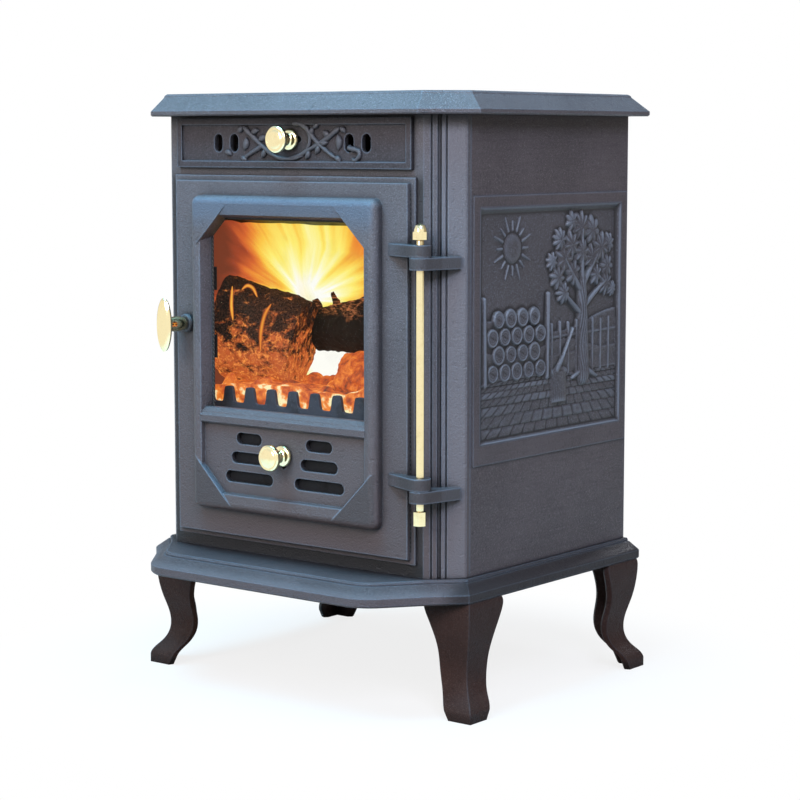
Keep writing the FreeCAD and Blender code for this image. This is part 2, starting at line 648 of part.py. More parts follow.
def back_panel():
    """Rear casting between the sides, with the flue hole and the collar's bolt holes."""
    half = INSIDE_X - CASTING_GAP
    solid = box(-half, half, BACK_INSIDE, HALF_DEPTH, BASE_TOP, BODY_TOP)
    hole = cylinder(FLUE_BORE_RADIUS + FLUE_HOLE_MARGIN, (0, BACK_INSIDE - 1, FLUE_Z), (0, 1, 0), WALL + 2)
    bolt_radius = FLUE_BOLT_RADIUS + SCREW_CLEARANCE
    bolts = [cylinder(bolt_radius, (x, BACK_INSIDE - 1, FLUE_Z), (0, 1, 0), WALL + 2)
             for x in flue_bolt_places()]
    return solid.cut(Part.makeCompound([hole] + bolts))


def flue_bolt_places():
    """Distances of the collar bolts either side of the flue's axis."""
    reach = FLUE_FLANGE_RADIUS + FLUE_LUG_RADIUS / 2
    return (-reach, reach)


def flue_collar():
    """Flanged spigot on the back for the flue pipe, held by a bolt in each lug."""
    flange = cylinder(FLUE_FLANGE_RADIUS, (0, HALF_DEPTH, FLUE_Z), (0, 1, 0), FLUE_FLANGE_THICKNESS)
    lugs = [cylinder(FLUE_LUG_RADIUS, (x, HALF_DEPTH, FLUE_Z), (0, 1, 0), FLUE_FLANGE_THICKNESS)
            for x in flue_bolt_places()]
    spigot = cylinder(FLUE_BORE_RADIUS + FLUE_WALL, (0, HALF_DEPTH, FLUE_Z), (0, 1, 0),
                      FLUE_FLANGE_THICKNESS + FLUE_SPIGOT)
    solid = fuse(flange, spigot, *lugs)
    bore = cylinder(FLUE_BORE_RADIUS, (0, HALF_DEPTH - 1, FLUE_Z), (0, 1, 0),
                    FLUE_FLANGE_THICKNESS + FLUE_SPIGOT + 2)
    bolt_radius = FLUE_BOLT_RADIUS + SCREW_CLEARANCE
    bolts = [cylinder(bolt_radius, (x, HALF_DEPTH - 1, FLUE_Z), (0, 1, 0), FLUE_FLANGE_THICKNESS + 2)
             for x in flue_bolt_places()]
    return solid.cut(Part.makeCompound([bore] + bolts))


def flue_collar_bolts():
    """Hexagon bolts through the collar's lugs with nuts inside."""
    seat = HALF_DEPTH + FLUE_FLANGE_THICKNESS
    solids = []
    for x in flue_bolt_places():
        head = hexagon(FLUE_BOLT_HEAD, (x, seat, FLUE_Z), (0, 1, 0), FLUE_BOLT_HEAD_HEIGHT)
        shank = cylinder(FLUE_BOLT_RADIUS, (x, BACK_INSIDE - FLUE_BOLT_HEAD_HEIGHT, FLUE_Z), (0, 1, 0),
                         seat - BACK_INSIDE + FLUE_BOLT_HEAD_HEIGHT)
        nut = hexagon(FLUE_BOLT_HEAD, (x, BACK_INSIDE, FLUE_Z), (0, -1, 0), FLUE_BOLT_HEAD_HEIGHT)
        solids.append(fuse(head, shank, nut))
    return Part.makeCompound(solids)


def top_plate():
    """Moulded top casting, hollow below, with the spare flue hole's seat and tie-rod bosses."""
    profile = ((TOP_LIP - TOP_EASE, 0.0), (TOP_LIP, TOP_EASE), (TOP_LIP, TOP_LIP_HEIGHT),
               (TOP_LIP - TOP_EASE, TOP_LIP_HEIGHT + TOP_EASE), (TOP_UPPER_LIP, TOP_HEIGHT - TOP_BEVEL_DROP),
               (TOP_UPPER_LIP - TOP_EASE / 2, TOP_HEIGHT - TOP_EASE),
               (TOP_UPPER_LIP - 2 * TOP_EASE, TOP_HEIGHT))
    wires = []
    for overhang, height in profile:
        corners = [Vector(x, y, BODY_TOP + height) for x, y in body_outline(overhang, TOP_REAR_SETBACK)]
        wires.append(Part.makePolygon(corners + corners[:1]))
    solid = Part.makeLoft(wires, True, True)
    roof = TOP_Z - TOP_SKIN
    solid = solid.cut(plate_xy(body_outline(-TOP_POCKET_RIM), BODY_TOP - 1, roof))
    seat = TOP_Z - BLANK_THICKNESS
    ring = cylinder(BLANK_RADIUS + BLANK_LEDGE, (0, BLANK_CENTRE_Y, seat - BLANK_RING_HEIGHT), (0, 0, 1),
                    BLANK_RING_HEIGHT)
    bosses = [cylinder(TIE_BOSS_RADIUS, (x, y, BODY_TOP), (0, 0, 1), roof - BODY_TOP)
              for x, y in tie_rod_places()]
    solid = fuse(solid, ring, *bosses)
    recess = cylinder(BLANK_RADIUS + CASTING_GAP, (0, BLANK_CENTRE_Y, seat), (0, 0, 1), BLANK_THICKNESS + 1)
    hole = cylinder(BLANK_RADIUS - BLANK_LEDGE, (0, BLANK_CENTRE_Y, BODY_TOP), (0, 0, 1), TOP_HEIGHT)
    threads = [cylinder(TIE_ROD_RADIUS + CASTING_GAP, (x, y, BODY_TOP - 1), (0, 0, 1),
                        TIE_ROD_TOP_BITE + 1 + CASTING_GAP)
               for x, y in tie_rod_places()]
    return solid.cut(Part.makeCompound([recess, hole] + threads))


def blanking_plate():
    """Round plate that closes the spare flue hole, flush with the top, with a boss for its bolt."""
    seat = TOP_Z - BLANK_THICKNESS
    disc = cylinder(BLANK_RADIUS, (0, BLANK_CENTRE_Y, seat), (0, 0, 1), BLANK_THICKNESS)
    boss = cylinder(CLAMP_BOLT_RADIUS * 2.2, (0, BLANK_CENTRE_Y, seat - BLANK_RING_HEIGHT), (0, 0, 1),
                    BLANK_RING_HEIGHT)
    solid = fuse(disc, boss)
    bore = cylinder(CLAMP_BOLT_RADIUS + CASTING_GAP, (0, BLANK_CENTRE_Y, seat - BLANK_RING_HEIGHT - 1),
                    (0, 0, 1),
                    BLANK_RING_HEIGHT + BLANK_THICKNESS / 2)
    return solid.cut(bore)


def clamp_top():
    """Height of the clamp bar's upper face, against the seat ring."""
    return TOP_Z - BLANK_THICKNESS - BLANK_RING_HEIGHT


def blanking_clamp():
    """Bar under the seat ring that the blanking plate's bolt pulls against."""
    reach = BLANK_RADIUS + BLANK_LEDGE / 2
    bar = box(-reach, reach, BLANK_CENTRE_Y - CLAMP_WIDTH / 2, BLANK_CENTRE_Y + CLAMP_WIDTH / 2,
              clamp_top() - CLAMP_HEIGHT, clamp_top())
    return bar.cut(cylinder(CLAMP_BOLT_RADIUS + CASTING_GAP,
                            (0, BLANK_CENTRE_Y, clamp_top() - CLAMP_HEIGHT - 1),
                            (0, 0, 1), CLAMP_HEIGHT + 2))


def blanking_bolt():
    """Bolt through the clamp bar into the blanking plate's boss."""
    start = clamp_top() - CLAMP_HEIGHT
    length = CLAMP_HEIGHT + BLANK_RING_HEIGHT + BLANK_THICKNESS / 2 - 1.5
    shank = cylinder(CLAMP_BOLT_RADIUS, (0, BLANK_CENTRE_Y, start), (0, 0, 1), length)
    head = hexagon(CLAMP_BOLT_RADIUS * 1.85, (0, BLANK_CENTRE_Y, start), (0, 0, -1), CLAMP_BOLT_RADIUS * 1.3)
    return fuse(shank, head)


def vent_screw_places():
    """Distances of the vent panel's screws either side of the middle."""
    reach = VENT_HALF - VENT_BORDER / 2
    return (-reach, reach)


def vent_panel():
    """Upper air panel with a sunk field, four oval vents and the knob's slot."""
    solid = box(-VENT_HALF, VENT_HALF, VENT_FACE, FRONT, VENT_BOTTOM, VENT_TOP)
    field = box(-VENT_HALF + VENT_BORDER, VENT_HALF - VENT_BORDER, VENT_FACE - 1, VENT_FLOOR,
                VENT_BOTTOM + VENT_BORDER, VENT_TOP - VENT_BORDER)
    cuts = [field]
    for centre in OVAL_CENTRES:
        for x in (-centre, centre):
            cuts.append(slot_xz(x, VENT_MIDDLE, OVAL_WIDTH, OVAL_HEIGHT, VENT_FACE - 1, FRONT + 1))
    width = 2 * (STEM_RADIUS + STEM_CLEARANCE)
    cuts.append(slot_xz(SECONDARY_TRAVEL / 2, VENT_KNOB_Z, SECONDARY_TRAVEL + width, width, VENT_FACE - 1,
                        FRONT + 1))
    for x in vent_screw_places():
        cuts.append(cylinder(VENT_SCREW_RADIUS + SCREW_CLEARANCE, (x, FRONT + 1, VENT_MIDDLE), (0, -1, 0),
                             VENT_SCREW_BITE + 1 + SCREW_CLEARANCE))
    return solid.cut(Part.makeCompound(cuts))


def secondary_half_length():
    """Half length of the upper air slider."""
    return OVAL_CENTRES[-1] + OVAL_WIDTH / 2 + SECONDARY_END_MARGIN


def secondary_front():
    """Depth of the upper air slider's front face, behind the vent panel."""
    return FRONT + SLIDE_CLEARANCE


def secondary_pocket():
    """Shallow recess in the front frame where the upper air slider moves."""
    half = secondary_half_length() + SLIDE_CLEARANCE
    rise = SECONDARY_SLIDER_HEIGHT / 2 + SLIDE_CLEARANCE
    floor = secondary_front() + SECONDARY_SLIDER_THICKNESS + SLIDE_CLEARANCE
    return box(-half, half + SECONDARY_TRAVEL, FRONT - 1, floor, VENT_MIDDLE - rise, VENT_MIDDLE + rise)


def vent_panel_screws():
    """Round-headed screws from inside the front frame into the vent panel."""
    solids = []
    for x in vent_screw_places():
        shank = cylinder(VENT_SCREW_RADIUS, (x, FRAME_BACK, VENT_MIDDLE), (0, -1, 0), WALL + VENT_SCREW_BITE)
        head = cylinder(VENT_SCREW_RADIUS * 2, (x, FRAME_BACK, VENT_MIDDLE), (0, 1, 0),
                        VENT_SCREW_RADIUS * 1.2)
        solids.append(fuse(shank, head))
    return Part.makeCompound(solids)


def secondary_slider():
    """Air slider behind the vent panel with its own ovals and a stud for the knob."""
    front = secondary_front()
    back = front + SECONDARY_SLIDER_THICKNESS
    half = secondary_half_length()
    low = VENT_MIDDLE - SECONDARY_SLIDER_HEIGHT / 2
    plate = box(-half, half, front, back, low, low + SECONDARY_SLIDER_HEIGHT)
    ovals = []
    for centre in OVAL_CENTRES:
        for x in (-centre, centre):
            ovals.append(slot_xz(x, VENT_MIDDLE, SECONDARY_OVAL_WIDTH, OVAL_HEIGHT, front - 1, back + 1))
    plate = plate.cut(Part.makeCompound(ovals))
    tip = VENT_FLOOR - SLIDE_CLEARANCE - KNOB_BORE_DEPTH + 1.0
    stud = cylinder(STEM_RADIUS, (0, tip, VENT_KNOB_Z), (0, 1, 0), back - tip)
    return fuse(plate, stud)


def knob(x, seat, z):
    """Turned brass knob on a front face, bored for its stud."""
    rim = KNOB_LENGTH - KNOB_DOME
    back = rim - KNOB_DISC_THICKNESS
    profile = ((0.0, 0.0), (KNOB_FLANGE_RADIUS, 0.0), (KNOB_FLANGE_RADIUS, KNOB_FLANGE_THICKNESS * 0.65),
               (KNOB_FLANGE_RADIUS * 0.88, KNOB_FLANGE_THICKNESS), (KNOB_NECK_RADIUS * 1.1,
                                                                    KNOB_FLANGE_THICKNESS + 1.2),
               (KNOB_NECK_RADIUS, KNOB_FLANGE_THICKNESS + 4.0), (KNOB_NECK_RADIUS * 1.05, back - 4.0),
               (KNOB_DISC_RADIUS * 0.6, back - 1.2), (KNOB_DISC_RADIUS * 0.94, back), (KNOB_DISC_RADIUS,
                                                                                       back + 1.2),
               (KNOB_DISC_RADIUS, rim - 1.2), (KNOB_DISC_RADIUS * 0.93, rim), (KNOB_DISC_RADIUS * 0.55,
                                                                               rim + KNOB_DOME * 0.8),
               (0.0, KNOB_LENGTH))
    solid = turned(profile, (x, seat - SLIDE_CLEARANCE, z), (0, -1, 0))
    return solid.cut(cylinder(STEM_RADIUS + CASTING_GAP / 3, (x, seat, z), (0, -1, 0),
                              KNOB_BORE_DEPTH + SLIDE_CLEARANCE))


def octagon(y0, y1):
    """Outline inside the four corner gussets of the door's raised frame."""
    x = DOOR_FRAME_HALF - GUSSET_SIDE
    top = DOOR_FRAME_TOP - FRAME_EDGE_RADIUS - GUSSET_END
    low = DOOR_FRAME_BOTTOM + FRAME_EDGE_RADIUS + GUSSET_END
    right = [(x - GUSSET_LEG, low), (x, low + GUSSET_LEG), (x, top - GUSSET_LEG), (x - GUSSET_LEG, top)]
    left = [(-a, b) for a, b in reversed(right)]
    return plate_xz(right + left, y0, y1)


def rectangle_wire(x, z0, z1, y):
    """An upright rectangle about the middle, at one depth."""
    corners = [Vector(-x, y, z0), Vector(x, y, z0), Vector(x, y, z1), Vector(-x, y, z1)]
    return Part.makePolygon(corners + corners[:1])


def splay(outer, inner):
    """A tapering pocket between two upright rectangles, each a half width, a range and a depth."""
    return Part.makeLoft([rectangle_wire(*outer), rectangle_wire(*inner)], True, True)


def door_pocket():
    """The facets inside the raised frame, the splayed window and the air panel's recess."""
    x = DOOR_FRAME_HALF - FRAME_EDGE_RADIUS
    low = DOOR_FRAME_BOTTOM + FRAME_EDGE_RADIUS
    top = DOOR_FRAME_TOP - FRAME_EDGE_RADIUS
    facet_y = DOOR_FRAME_FACE + FACET_DEPTH
    facet = splay((x, low, top, DOOR_FRAME_FACE), (FACET_X, FACET_LOW, FACET_HIGH, facet_y))
    skin = box(-x, x, DOOR_FRAME_FACE - 1, DOOR_FRAME_FACE, low, top)
    panel = splay((FACET_X, FACET_LOW, WINDOW_BOTTOM, facet_y),
                  (FACET_X - PANEL_DRAFT, FACET_LOW + PANEL_DRAFT, WINDOW_BOTTOM, PANEL_FACE))
    window = splay((FACET_X, WINDOW_BOTTOM, FACET_HIGH, facet_y),
                   (WINDOW_HALF, WINDOW_BOTTOM, WINDOW_TOP, GASKET_FRONT))
    way = box(-WINDOW_HALF, WINDOW_HALF, GASKET_FRONT, DOOR_BACK + 1, WINDOW_BOTTOM, WINDOW_TOP)
    return facet.multiFuse([skin, panel, window, way]).common(octagon(DOOR_FRAME_FACE - 2, DOOR_BACK + 2))


def mid_rail():
    """Moulded bar across the door under the window."""
    top = WINDOW_BOTTOM + MID_RAIL_LAP
    low = top - MID_RAIL_HEIGHT
    face = PANEL_FACE - MID_RAIL_PROUD
    half = FACET_X + 1.0
    h = MID_RAIL_HEIGHT
    points = [(PANEL_FACE + 1, low), (face + 1.5, low), (face, low + 1.5), (face, low + h * 0.5),
              (face + 2.0, low + h * 0.66), (face + 2.4, low + h * 0.74), (face + 5.0,
                                                                           low + h * 0.94), (face + 6.5, top),
              (GASKET_FRONT - 1, top), (GASKET_FRONT - 1, WINDOW_BOTTOM - 1),
              (PANEL_FACE + 1, WINDOW_BOTTOM - 1)]
    return plate_yz(points, -half, half)


def raised_frame():
    """Rounded raised frame on the door's face, before its pocket is cut."""
    solid = rounded_plate_xz(-DOOR_FRAME_HALF, DOOR_FRAME_HALF, DOOR_FRAME_BOTTOM, DOOR_FRAME_TOP,
                             FRAME_CORNER_RADIUS, DOOR_FRAME_FACE, DOOR_FACE + 1)
    rim = [e for e in solid.Edges
           if abs(e.BoundBox.YMin - DOOR_FRAME_FACE) < 0.01 and e.BoundBox.YLength < 0.01]
    return solid.makeFillet(FRAME_EDGE_RADIUS, rim)


def air_slots(height, lift, y0, y1):
    """The two columns of air slots, three lengths each, lifted by an offset."""
    slots = []
    for row, length in enumerate(SLOT_LENGTHS):
        z = DOOR_BOTTOM + SLOT_FIRST_Z + row * SLOT_PITCH + lift
        for x in (-SLOT_CENTRE_X, SLOT_CENTRE_X):
            slots.append(slot_xz(x, z, length, height, y0, y1))
    return slots


def rope_ring(y0, y1):
    """Ring round the door's back where the rope seal lies."""
    half = APERTURE_HALF + ROPE_SETBACK
    low = APERTURE_BOTTOM - ROPE_SETBACK
    top = APERTURE_TOP + ROPE_SETBACK
    outer = rounded_plate_xz(-half - ROPE_WIDTH, half + ROPE_WIDTH, low - ROPE_WIDTH, top + ROPE_WIDTH,
                             ROPE_WIDTH + 2, y0, y1)
    return outer.cut(rounded_plate_xz(-half, half, low, top, 2.0, y0 - 1, y1 + 1))


def glass_edges():
    """Half width, lower and upper edge of the glass."""
    return (WINDOW_HALF + GLASS_LAP, WINDOW_BOTTOM - GLASS_LAP, WINDOW_TOP + GLASS_LAP)


def glass_plate(grow, y0, y1):
    """The glass outline, grown by a gap, carried from y0 to y1."""
    half, low, top = glass_edges()
    return box(-half - grow, half + grow, y0, y1, low - grow, top + grow)


def clip_places():
    """Middle of each glass clip on the door's back and the way it points across the glass edge."""
    half, low, top = glass_edges()
    third = (top - low) / 3
    return [(side * (half + GLASS_EDGE_GAP), low + third * step, side) for side in (-1, 1) for step in (1, 2)]


def clip_screw_x(x, side):
    """Where a clip's screw stands beside the glass."""
    return x + side * CLIP_SIZE[0] / 4


def door():
    """Door casting: lipped plate, raised frame with corner gussets, mid rail, air slots and hinge lugs."""
    lip = box(-DOOR_HALF, DOOR_HALF, DOOR_BACK - DOOR_LIP_THICKNESS, DOOR_BACK, DOOR_BOTTOM, DOOR_TOP)
    main = box(-DOOR_HALF + DOOR_LIP_WIDTH, DOOR_HALF - DOOR_LIP_WIDTH, DOOR_FACE, DOOR_BACK,
               DOOR_BOTTOM + DOOR_LIP_WIDTH, DOOR_TOP - DOOR_LIP_WIDTH)
    lugs = [door_knuckle(DOOR_BOTTOM + rise) for rise in KNUCKLE_RISES]
    solid = fuse(lip, main, raised_frame(), *lugs)
    solid = solid.cut(door_pocket())
    solid = fuse(solid, mid_rail())
    cuts = air_slots(SLOT_HEIGHT, 0.0, PANEL_FACE - 1, PANEL_BACK + 1)
    cuts.append(slider_pocket())
    width = 2 * (STEM_RADIUS + STEM_CLEARANCE)
    cuts.append(slot_xz(0, PRIMARY_Z - PRIMARY_TRAVEL / 2, width, PRIMARY_TRAVEL + width, PANEL_FACE - 1,
                        PANEL_BACK + 1))
    cuts.append(glass_plate(GLASS_EDGE_GAP, GASKET_FRONT, DOOR_BACK + 1))
    cuts.append(rope_ring(DOOR_BACK - ROPE_DEPTH, DOOR_BACK + 1))
    cuts.append(rod_bore())
    cuts.append(cylinder(SPINDLE_RADIUS + SPINDLE_CLEARANCE, (HANDLE_X, DOOR_FACE - 1, HANDLE_Z),
                         (0, 1, 0), DOOR_THICKNESS + 2))
    for x, z, side in clip_places():
        hole_x = clip_screw_x(x, side)
        cuts.append(cylinder(CLIP_SCREW_RADIUS + SCREW_CLEARANCE, (hole_x, DOOR_BACK + 1, z), (0, -1, 0),
                             DOOR_THICKNESS))
    return solid.cut(Part.makeCompound(cuts))


def door_glass():
    """Flat ceramic glass in the door's back."""
    return glass_plate(0.0, GLASS_FRONT, DOOR_BACK)


def glass_gasket():
    """Thin tape between the glass and the casting, seen as a dark line round the window."""
    ring = glass_plate(0.0, GASKET_FRONT, GLASS_FRONT)
    x, z0, z1 = WINDOW_HALF - GASKET_LAP, WINDOW_BOTTOM + GASKET_LAP, WINDOW_TOP - GASKET_LAP
    hole = box(-x, x, GASKET_FRONT - 1, GLASS_FRONT + 1, z0, z1)
    return ring.cut(hole.common(octagon(GASKET_FRONT - 1, GLASS_FRONT + 1)))


def glass_clips():
    """Flat clips on the door's back that hold the glass edge."""
    width, height, thickness = CLIP_SIZE
    solids = []
    for x, z, side in clip_places():
        clip = box(x - width / 2, x + width / 2, DOOR_BACK, DOOR_BACK + thickness, z - height / 2,
                   z + height / 2)
        hole = cylinder(CLIP_SCREW_RADIUS + CASTING_GAP, (clip_screw_x(x, side), DOOR_BACK - 1, z),
                        (0, 1, 0), thickness + 2)
        solids.append(clip.cut(hole))
    return Part.makeCompound(solids)


def glass_clip_screws():
    """Screws that hold the glass clips."""
    solids = []
    seat = DOOR_BACK + CLIP_SIZE[2]
    for x, z, side in clip_places():
        screw_x = clip_screw_x(x, side)
        shank = cylinder(CLIP_SCREW_RADIUS, (screw_x, seat, z), (0, -1, 0), CLIP_SIZE[2] + DOOR_THICKNESS - 2)
        head = cylinder(CLIP_SCREW_RADIUS * 1.9, (screw_x, seat, z), (0, 1, 0), CLIP_SCREW_RADIUS)
        solids.append(fuse(shank, head))
    return Part.makeCompound(solids)


def door_rope_seal():
    """Rope seal in the groove of the door's back, pressed flat towards the front frame."""
    return rope_ring(DOOR_BACK - ROPE_DEPTH, FRONT - CASTING_GAP)


def primary_half_width():
    """Half width of the primary air slider."""
    return SLOT_CENTRE_X + SLOT_LENGTHS[0] / 2 + SLIDER_MARGIN


def primary_span():
    """Lower and upper edge of the primary air slider at rest, closed."""
    first = DOOR_BOTTOM + SLOT_FIRST_Z + PRIMARY_TRAVEL
    rows = len(SLOT_LENGTHS) - 1
    return (first - SLOT_PITCH / 2 - SLOT_HEIGHT,
            first + rows * SLOT_PITCH + PRIMARY_SLOT_HEIGHT / 2 + SLIDER_TOP_RIM)


def slider_pocket():
    """Hollow in the door's back where the primary air slider moves."""
    half = primary_half_width() + SLIDE_CLEARANCE + GUIDE_WIDTH + GUIDE_POCKET_GAP
    low, top = primary_span()
    return box(-half, half, PANEL_BACK, DOOR_BACK + 1, low - PRIMARY_TRAVEL - SLIDE_CLEARANCE,
               top + SLIDE_CLEARANCE)


def primary_slider():
    """Upright air slider behind the door's slots with a stud for the knob."""
    front = PANEL_BACK + SLIDE_CLEARANCE
    back = front + SLIDER_THICKNESS
    half = primary_half_width()
    low, top = primary_span()
    plate = box(-half, half, front, back, low, top)
    plate = plate.cut(Part.makeCompound(air_slots(PRIMARY_SLOT_HEIGHT, PRIMARY_TRAVEL, front - 1, back + 1)))
    tip = PANEL_FACE - SLIDE_CLEARANCE - KNOB_BORE_DEPTH + 1.0
    return fuse(plate, cylinder(STEM_RADIUS, (0, tip, PRIMARY_Z), (0, 1, 0), back - tip))


def primary_guides():
    """Rails either side of the primary air slider on the door's back."""
    back = PANEL_BACK + SLIDE_CLEARANCE + SLIDER_THICKNESS + SLIDE_CLEARANCE
    low, top = primary_span()
    near = primary_half_width() + SLIDE_CLEARANCE
    points = [(near, PANEL_BACK), (near + GUIDE_WIDTH, PANEL_BACK),
              (near + GUIDE_WIDTH, back + GUIDE_THICKNESS),
              (near - GUIDE_LIP, back + GUIDE_THICKNESS), (near - GUIDE_LIP, back), (near, back)]
    rail = plate_xy(points, low, top - PRIMARY_TRAVEL)
    return Part.makeCompound([rail, mirror_x(rail)])


def handle_bush():
    """Cast boss on the door's face that the handle turns in."""
    profile = ((SPINDLE_RADIUS + SPINDLE_CLEARANCE, 0.0), (HANDLE_BUSH_RADIUS, 0.0),
               (HANDLE_BUSH_RADIUS, HANDLE_BUSH_HEIGHT * 0.6), (HANDLE_BUSH_RADIUS * 0.85,
                                                                HANDLE_BUSH_HEIGHT),
               (SPINDLE_RADIUS + SPINDLE_CLEARANCE, HANDLE_BUSH_HEIGHT))
    return turned(profile, (HANDLE_X, DOOR_FACE, HANDLE_Z), (0, -1, 0))


def ellipse_wire(y, width, height):
    """An upright ellipse round the handle's axis at one depth."""
    major = Part.Ellipse(Vector(HANDLE_X, y, HANDLE_Z + height / 2),
                         Vector(HANDLE_X + width / 2, y, HANDLE_Z),
                         Vector(HANDLE_X, y, HANDLE_Z))
    return Part.Wire(major.toShape())


def handle_knob():
    """Oval brass handle: a waisted stem that swells into a lens-shaped oval."""
    seat = DOOR_FACE - HANDLE_BUSH_HEIGHT - CASTING_GAP
    r = HANDLE_STEM_RADIUS
    stem_profile = ((0.0, 0.0), (r * 1.15, 0.0), (r * 1.15, 3.0), (r, 5.0), (r * 0.8, HANDLE_STEM * 0.45),
                    (r * 0.95, HANDLE_STEM - HANDLE_BUSH_HEIGHT), (0.0, HANDLE_STEM - HANDLE_BUSH_HEIGHT))
    stem = turned(stem_profile, (HANDLE_X, seat, HANDLE_Z), (0, -1, 0))
    back = DOOR_FACE - HANDLE_STEM
    width, height, thick = HANDLE_OVAL_WIDTH, HANDLE_OVAL_HEIGHT, HANDLE_OVAL_THICKNESS
    sections = ((1.5, r * 1.7, r * 2.0), (-thick * 0.35, width * 0.97, height * 0.97),
                (-thick * 0.55, width, height),
                (-thick * 0.75, width * 0.95, height * 0.97), (-thick, width * 0.6, height * 0.75))
    wires = [ellipse_wire(back + y, w, h) for y, w, h in sections]
    oval = Part.makeLoft(wires, True, True)
    solid = fuse(stem, oval)
    depth = HANDLE_STEM * 0.6
    return solid.cut(cylinder(SPINDLE_RADIUS + CASTING_GAP / 3, (HANDLE_X, seat + 1, HANDLE_Z), (0, -1, 0),
                              depth + 1))


def latch_spindle():
    """Steel spindle from the handle through the door to the latch cam."""
    tip = DOOR_FACE - HANDLE_BUSH_HEIGHT - CASTING_GAP - HANDLE_STEM * 0.6 + 1.0
    tail = cam_front() + CAM_THICKNESS + LATCH_NUT_HEIGHT
    return cylinder(SPINDLE_RADIUS, (HANDLE_X, tip, HANDLE_Z), (0, 1, 0), tail - tip)


def cam_front():
    """Depth of the latch cam's front face, just behind the front frame."""
    return FRAME_BACK + CAM_CLEARANCE


def latch_cam():
    """Latch tongue on the spindle, upright at rest and behind the frame when turned."""
    front = cam_front()
    hub = cylinder(CAM_WIDTH / 2 + CAM_HUB_RIM, (HANDLE_X, front, HANDLE_Z), (0, 1, 0), CAM_THICKNESS)
    points = [(HANDLE_X - CAM_WIDTH / 2, HANDLE_Z), (HANDLE_X + CAM_WIDTH / 2, HANDLE_Z),
              (HANDLE_X + CAM_WIDTH / 2, HANDLE_Z + CAM_REACH - 3), (HANDLE_X + CAM_WIDTH / 2 - 3,
                                                                     HANDLE_Z + CAM_REACH),
              (HANDLE_X - CAM_WIDTH / 2 + 3, HANDLE_Z + CAM_REACH),
              (HANDLE_X - CAM_WIDTH / 2, HANDLE_Z + CAM_REACH - 3)]
    solid = fuse(hub, plate_xz(points, front, front + CAM_THICKNESS))
    return solid.cut(cylinder(SPINDLE_RADIUS + CASTING_GAP / 3, (HANDLE_X, front - 1, HANDLE_Z), (0, 1, 0),
                              CAM_THICKNESS + 2))


def latch_nut():
    """Nut that holds the cam on the spindle."""
    seat = cam_front() + CAM_THICKNESS
    nut = hexagon(LATCH_NUT_RADIUS, (HANDLE_X, seat, HANDLE_Z), (0, 1, 0), LATCH_NUT_HEIGHT)
    return nut.cut(cylinder(SPINDLE_RADIUS + CASTING_GAP / 3, (HANDLE_X, seat - 1, HANDLE_Z), (0, 1, 0),
                            LATCH_NUT_HEIGHT + 2))


def hinge_span():
    """Lower and upper end of the hinge rod."""
    low = DOOR_BOTTOM + KNUCKLE_RISES[0] - KNUCKLE_HEIGHT - KNUCKLE_GAP - LOWER_NUT_DROP - LOWER_NUT_HEIGHT
    top = DOOR_BOTTOM + KNUCKLE_RISES[1] + KNUCKLE_HEIGHT + CAP_NUT_LIFT + CAP_NUT_HEIGHT * 0.6
    return (low, top)


def hinge_rod():
    """Brass rod through all four knuckles."""
    low, top = hinge_span()
    return cylinder(ROD_RADIUS, (HINGE_X, HINGE_Y, low), (0, 0, 1), top - low)


def hinge_cap_nut():
    """Domed brass nut on the rod's upper end."""
    seat = DOOR_BOTTOM + KNUCKLE_RISES[1] + KNUCKLE_HEIGHT + CAP_NUT_LIFT
    r, h = CAP_NUT_RADIUS, CAP_NUT_HEIGHT
    hexed = hexagon(r, (HINGE_X, HINGE_Y, seat), (0, 0, 1), h * 0.5)
    dome = turned(((0.0, 0.0), (r * 0.84, 0.0), (r * 0.8, h * 0.2), (r * 0.62, h * 0.4),
                   (r * 0.3, h * 0.5), (0.0, h * 0.5)),
                  (HINGE_X, HINGE_Y, seat + h * 0.5), (0, 0, 1))
    bore = cylinder(ROD_RADIUS + NUT_CLEARANCE, (HINGE_X, HINGE_Y, seat - 1), (0, 0, 1),
                    h * 0.6 + 1 + NUT_CLEARANCE)
    return fuse(hexed, dome).cut(bore)


def hinge_lower_nut():
    """Brass nut on the rod's lower end."""
    low = hinge_span()[0]
    nut = hexagon(LOWER_NUT_RADIUS, (HINGE_X, HINGE_Y, low), (0, 0, 1), LOWER_NUT_HEIGHT)
    return nut.cut(cylinder(ROD_RADIUS + NUT_CLEARANCE, (HINGE_X, HINGE_Y, low - 1), (0, 0, 1),
                            LOWER_NUT_HEIGHT + 2))


def leg_section(offset, wing, z):
    """Angle-shaped section of the front right leg at one height, its ridge on the diagonal."""
    x = LEG_TOE_X + offset / ROOT_2
    y = -LEG_FRONT_TOE_Y - offset / ROOT_2
    t = LEG_WALL
    points = [(0, 0), (0, wing), (-t * 0.6, wing + t * 0.25), (-t, wing - t * 0.2), (-t, t),
              (-wing + t * 0.2, t),
              (-wing - t * 0.25, t * 0.6), (-wing, 0)]
    corners = [Vector(x + a, y + b, z) for a, b in points]
    return Part.makePolygon(corners + corners[:1])


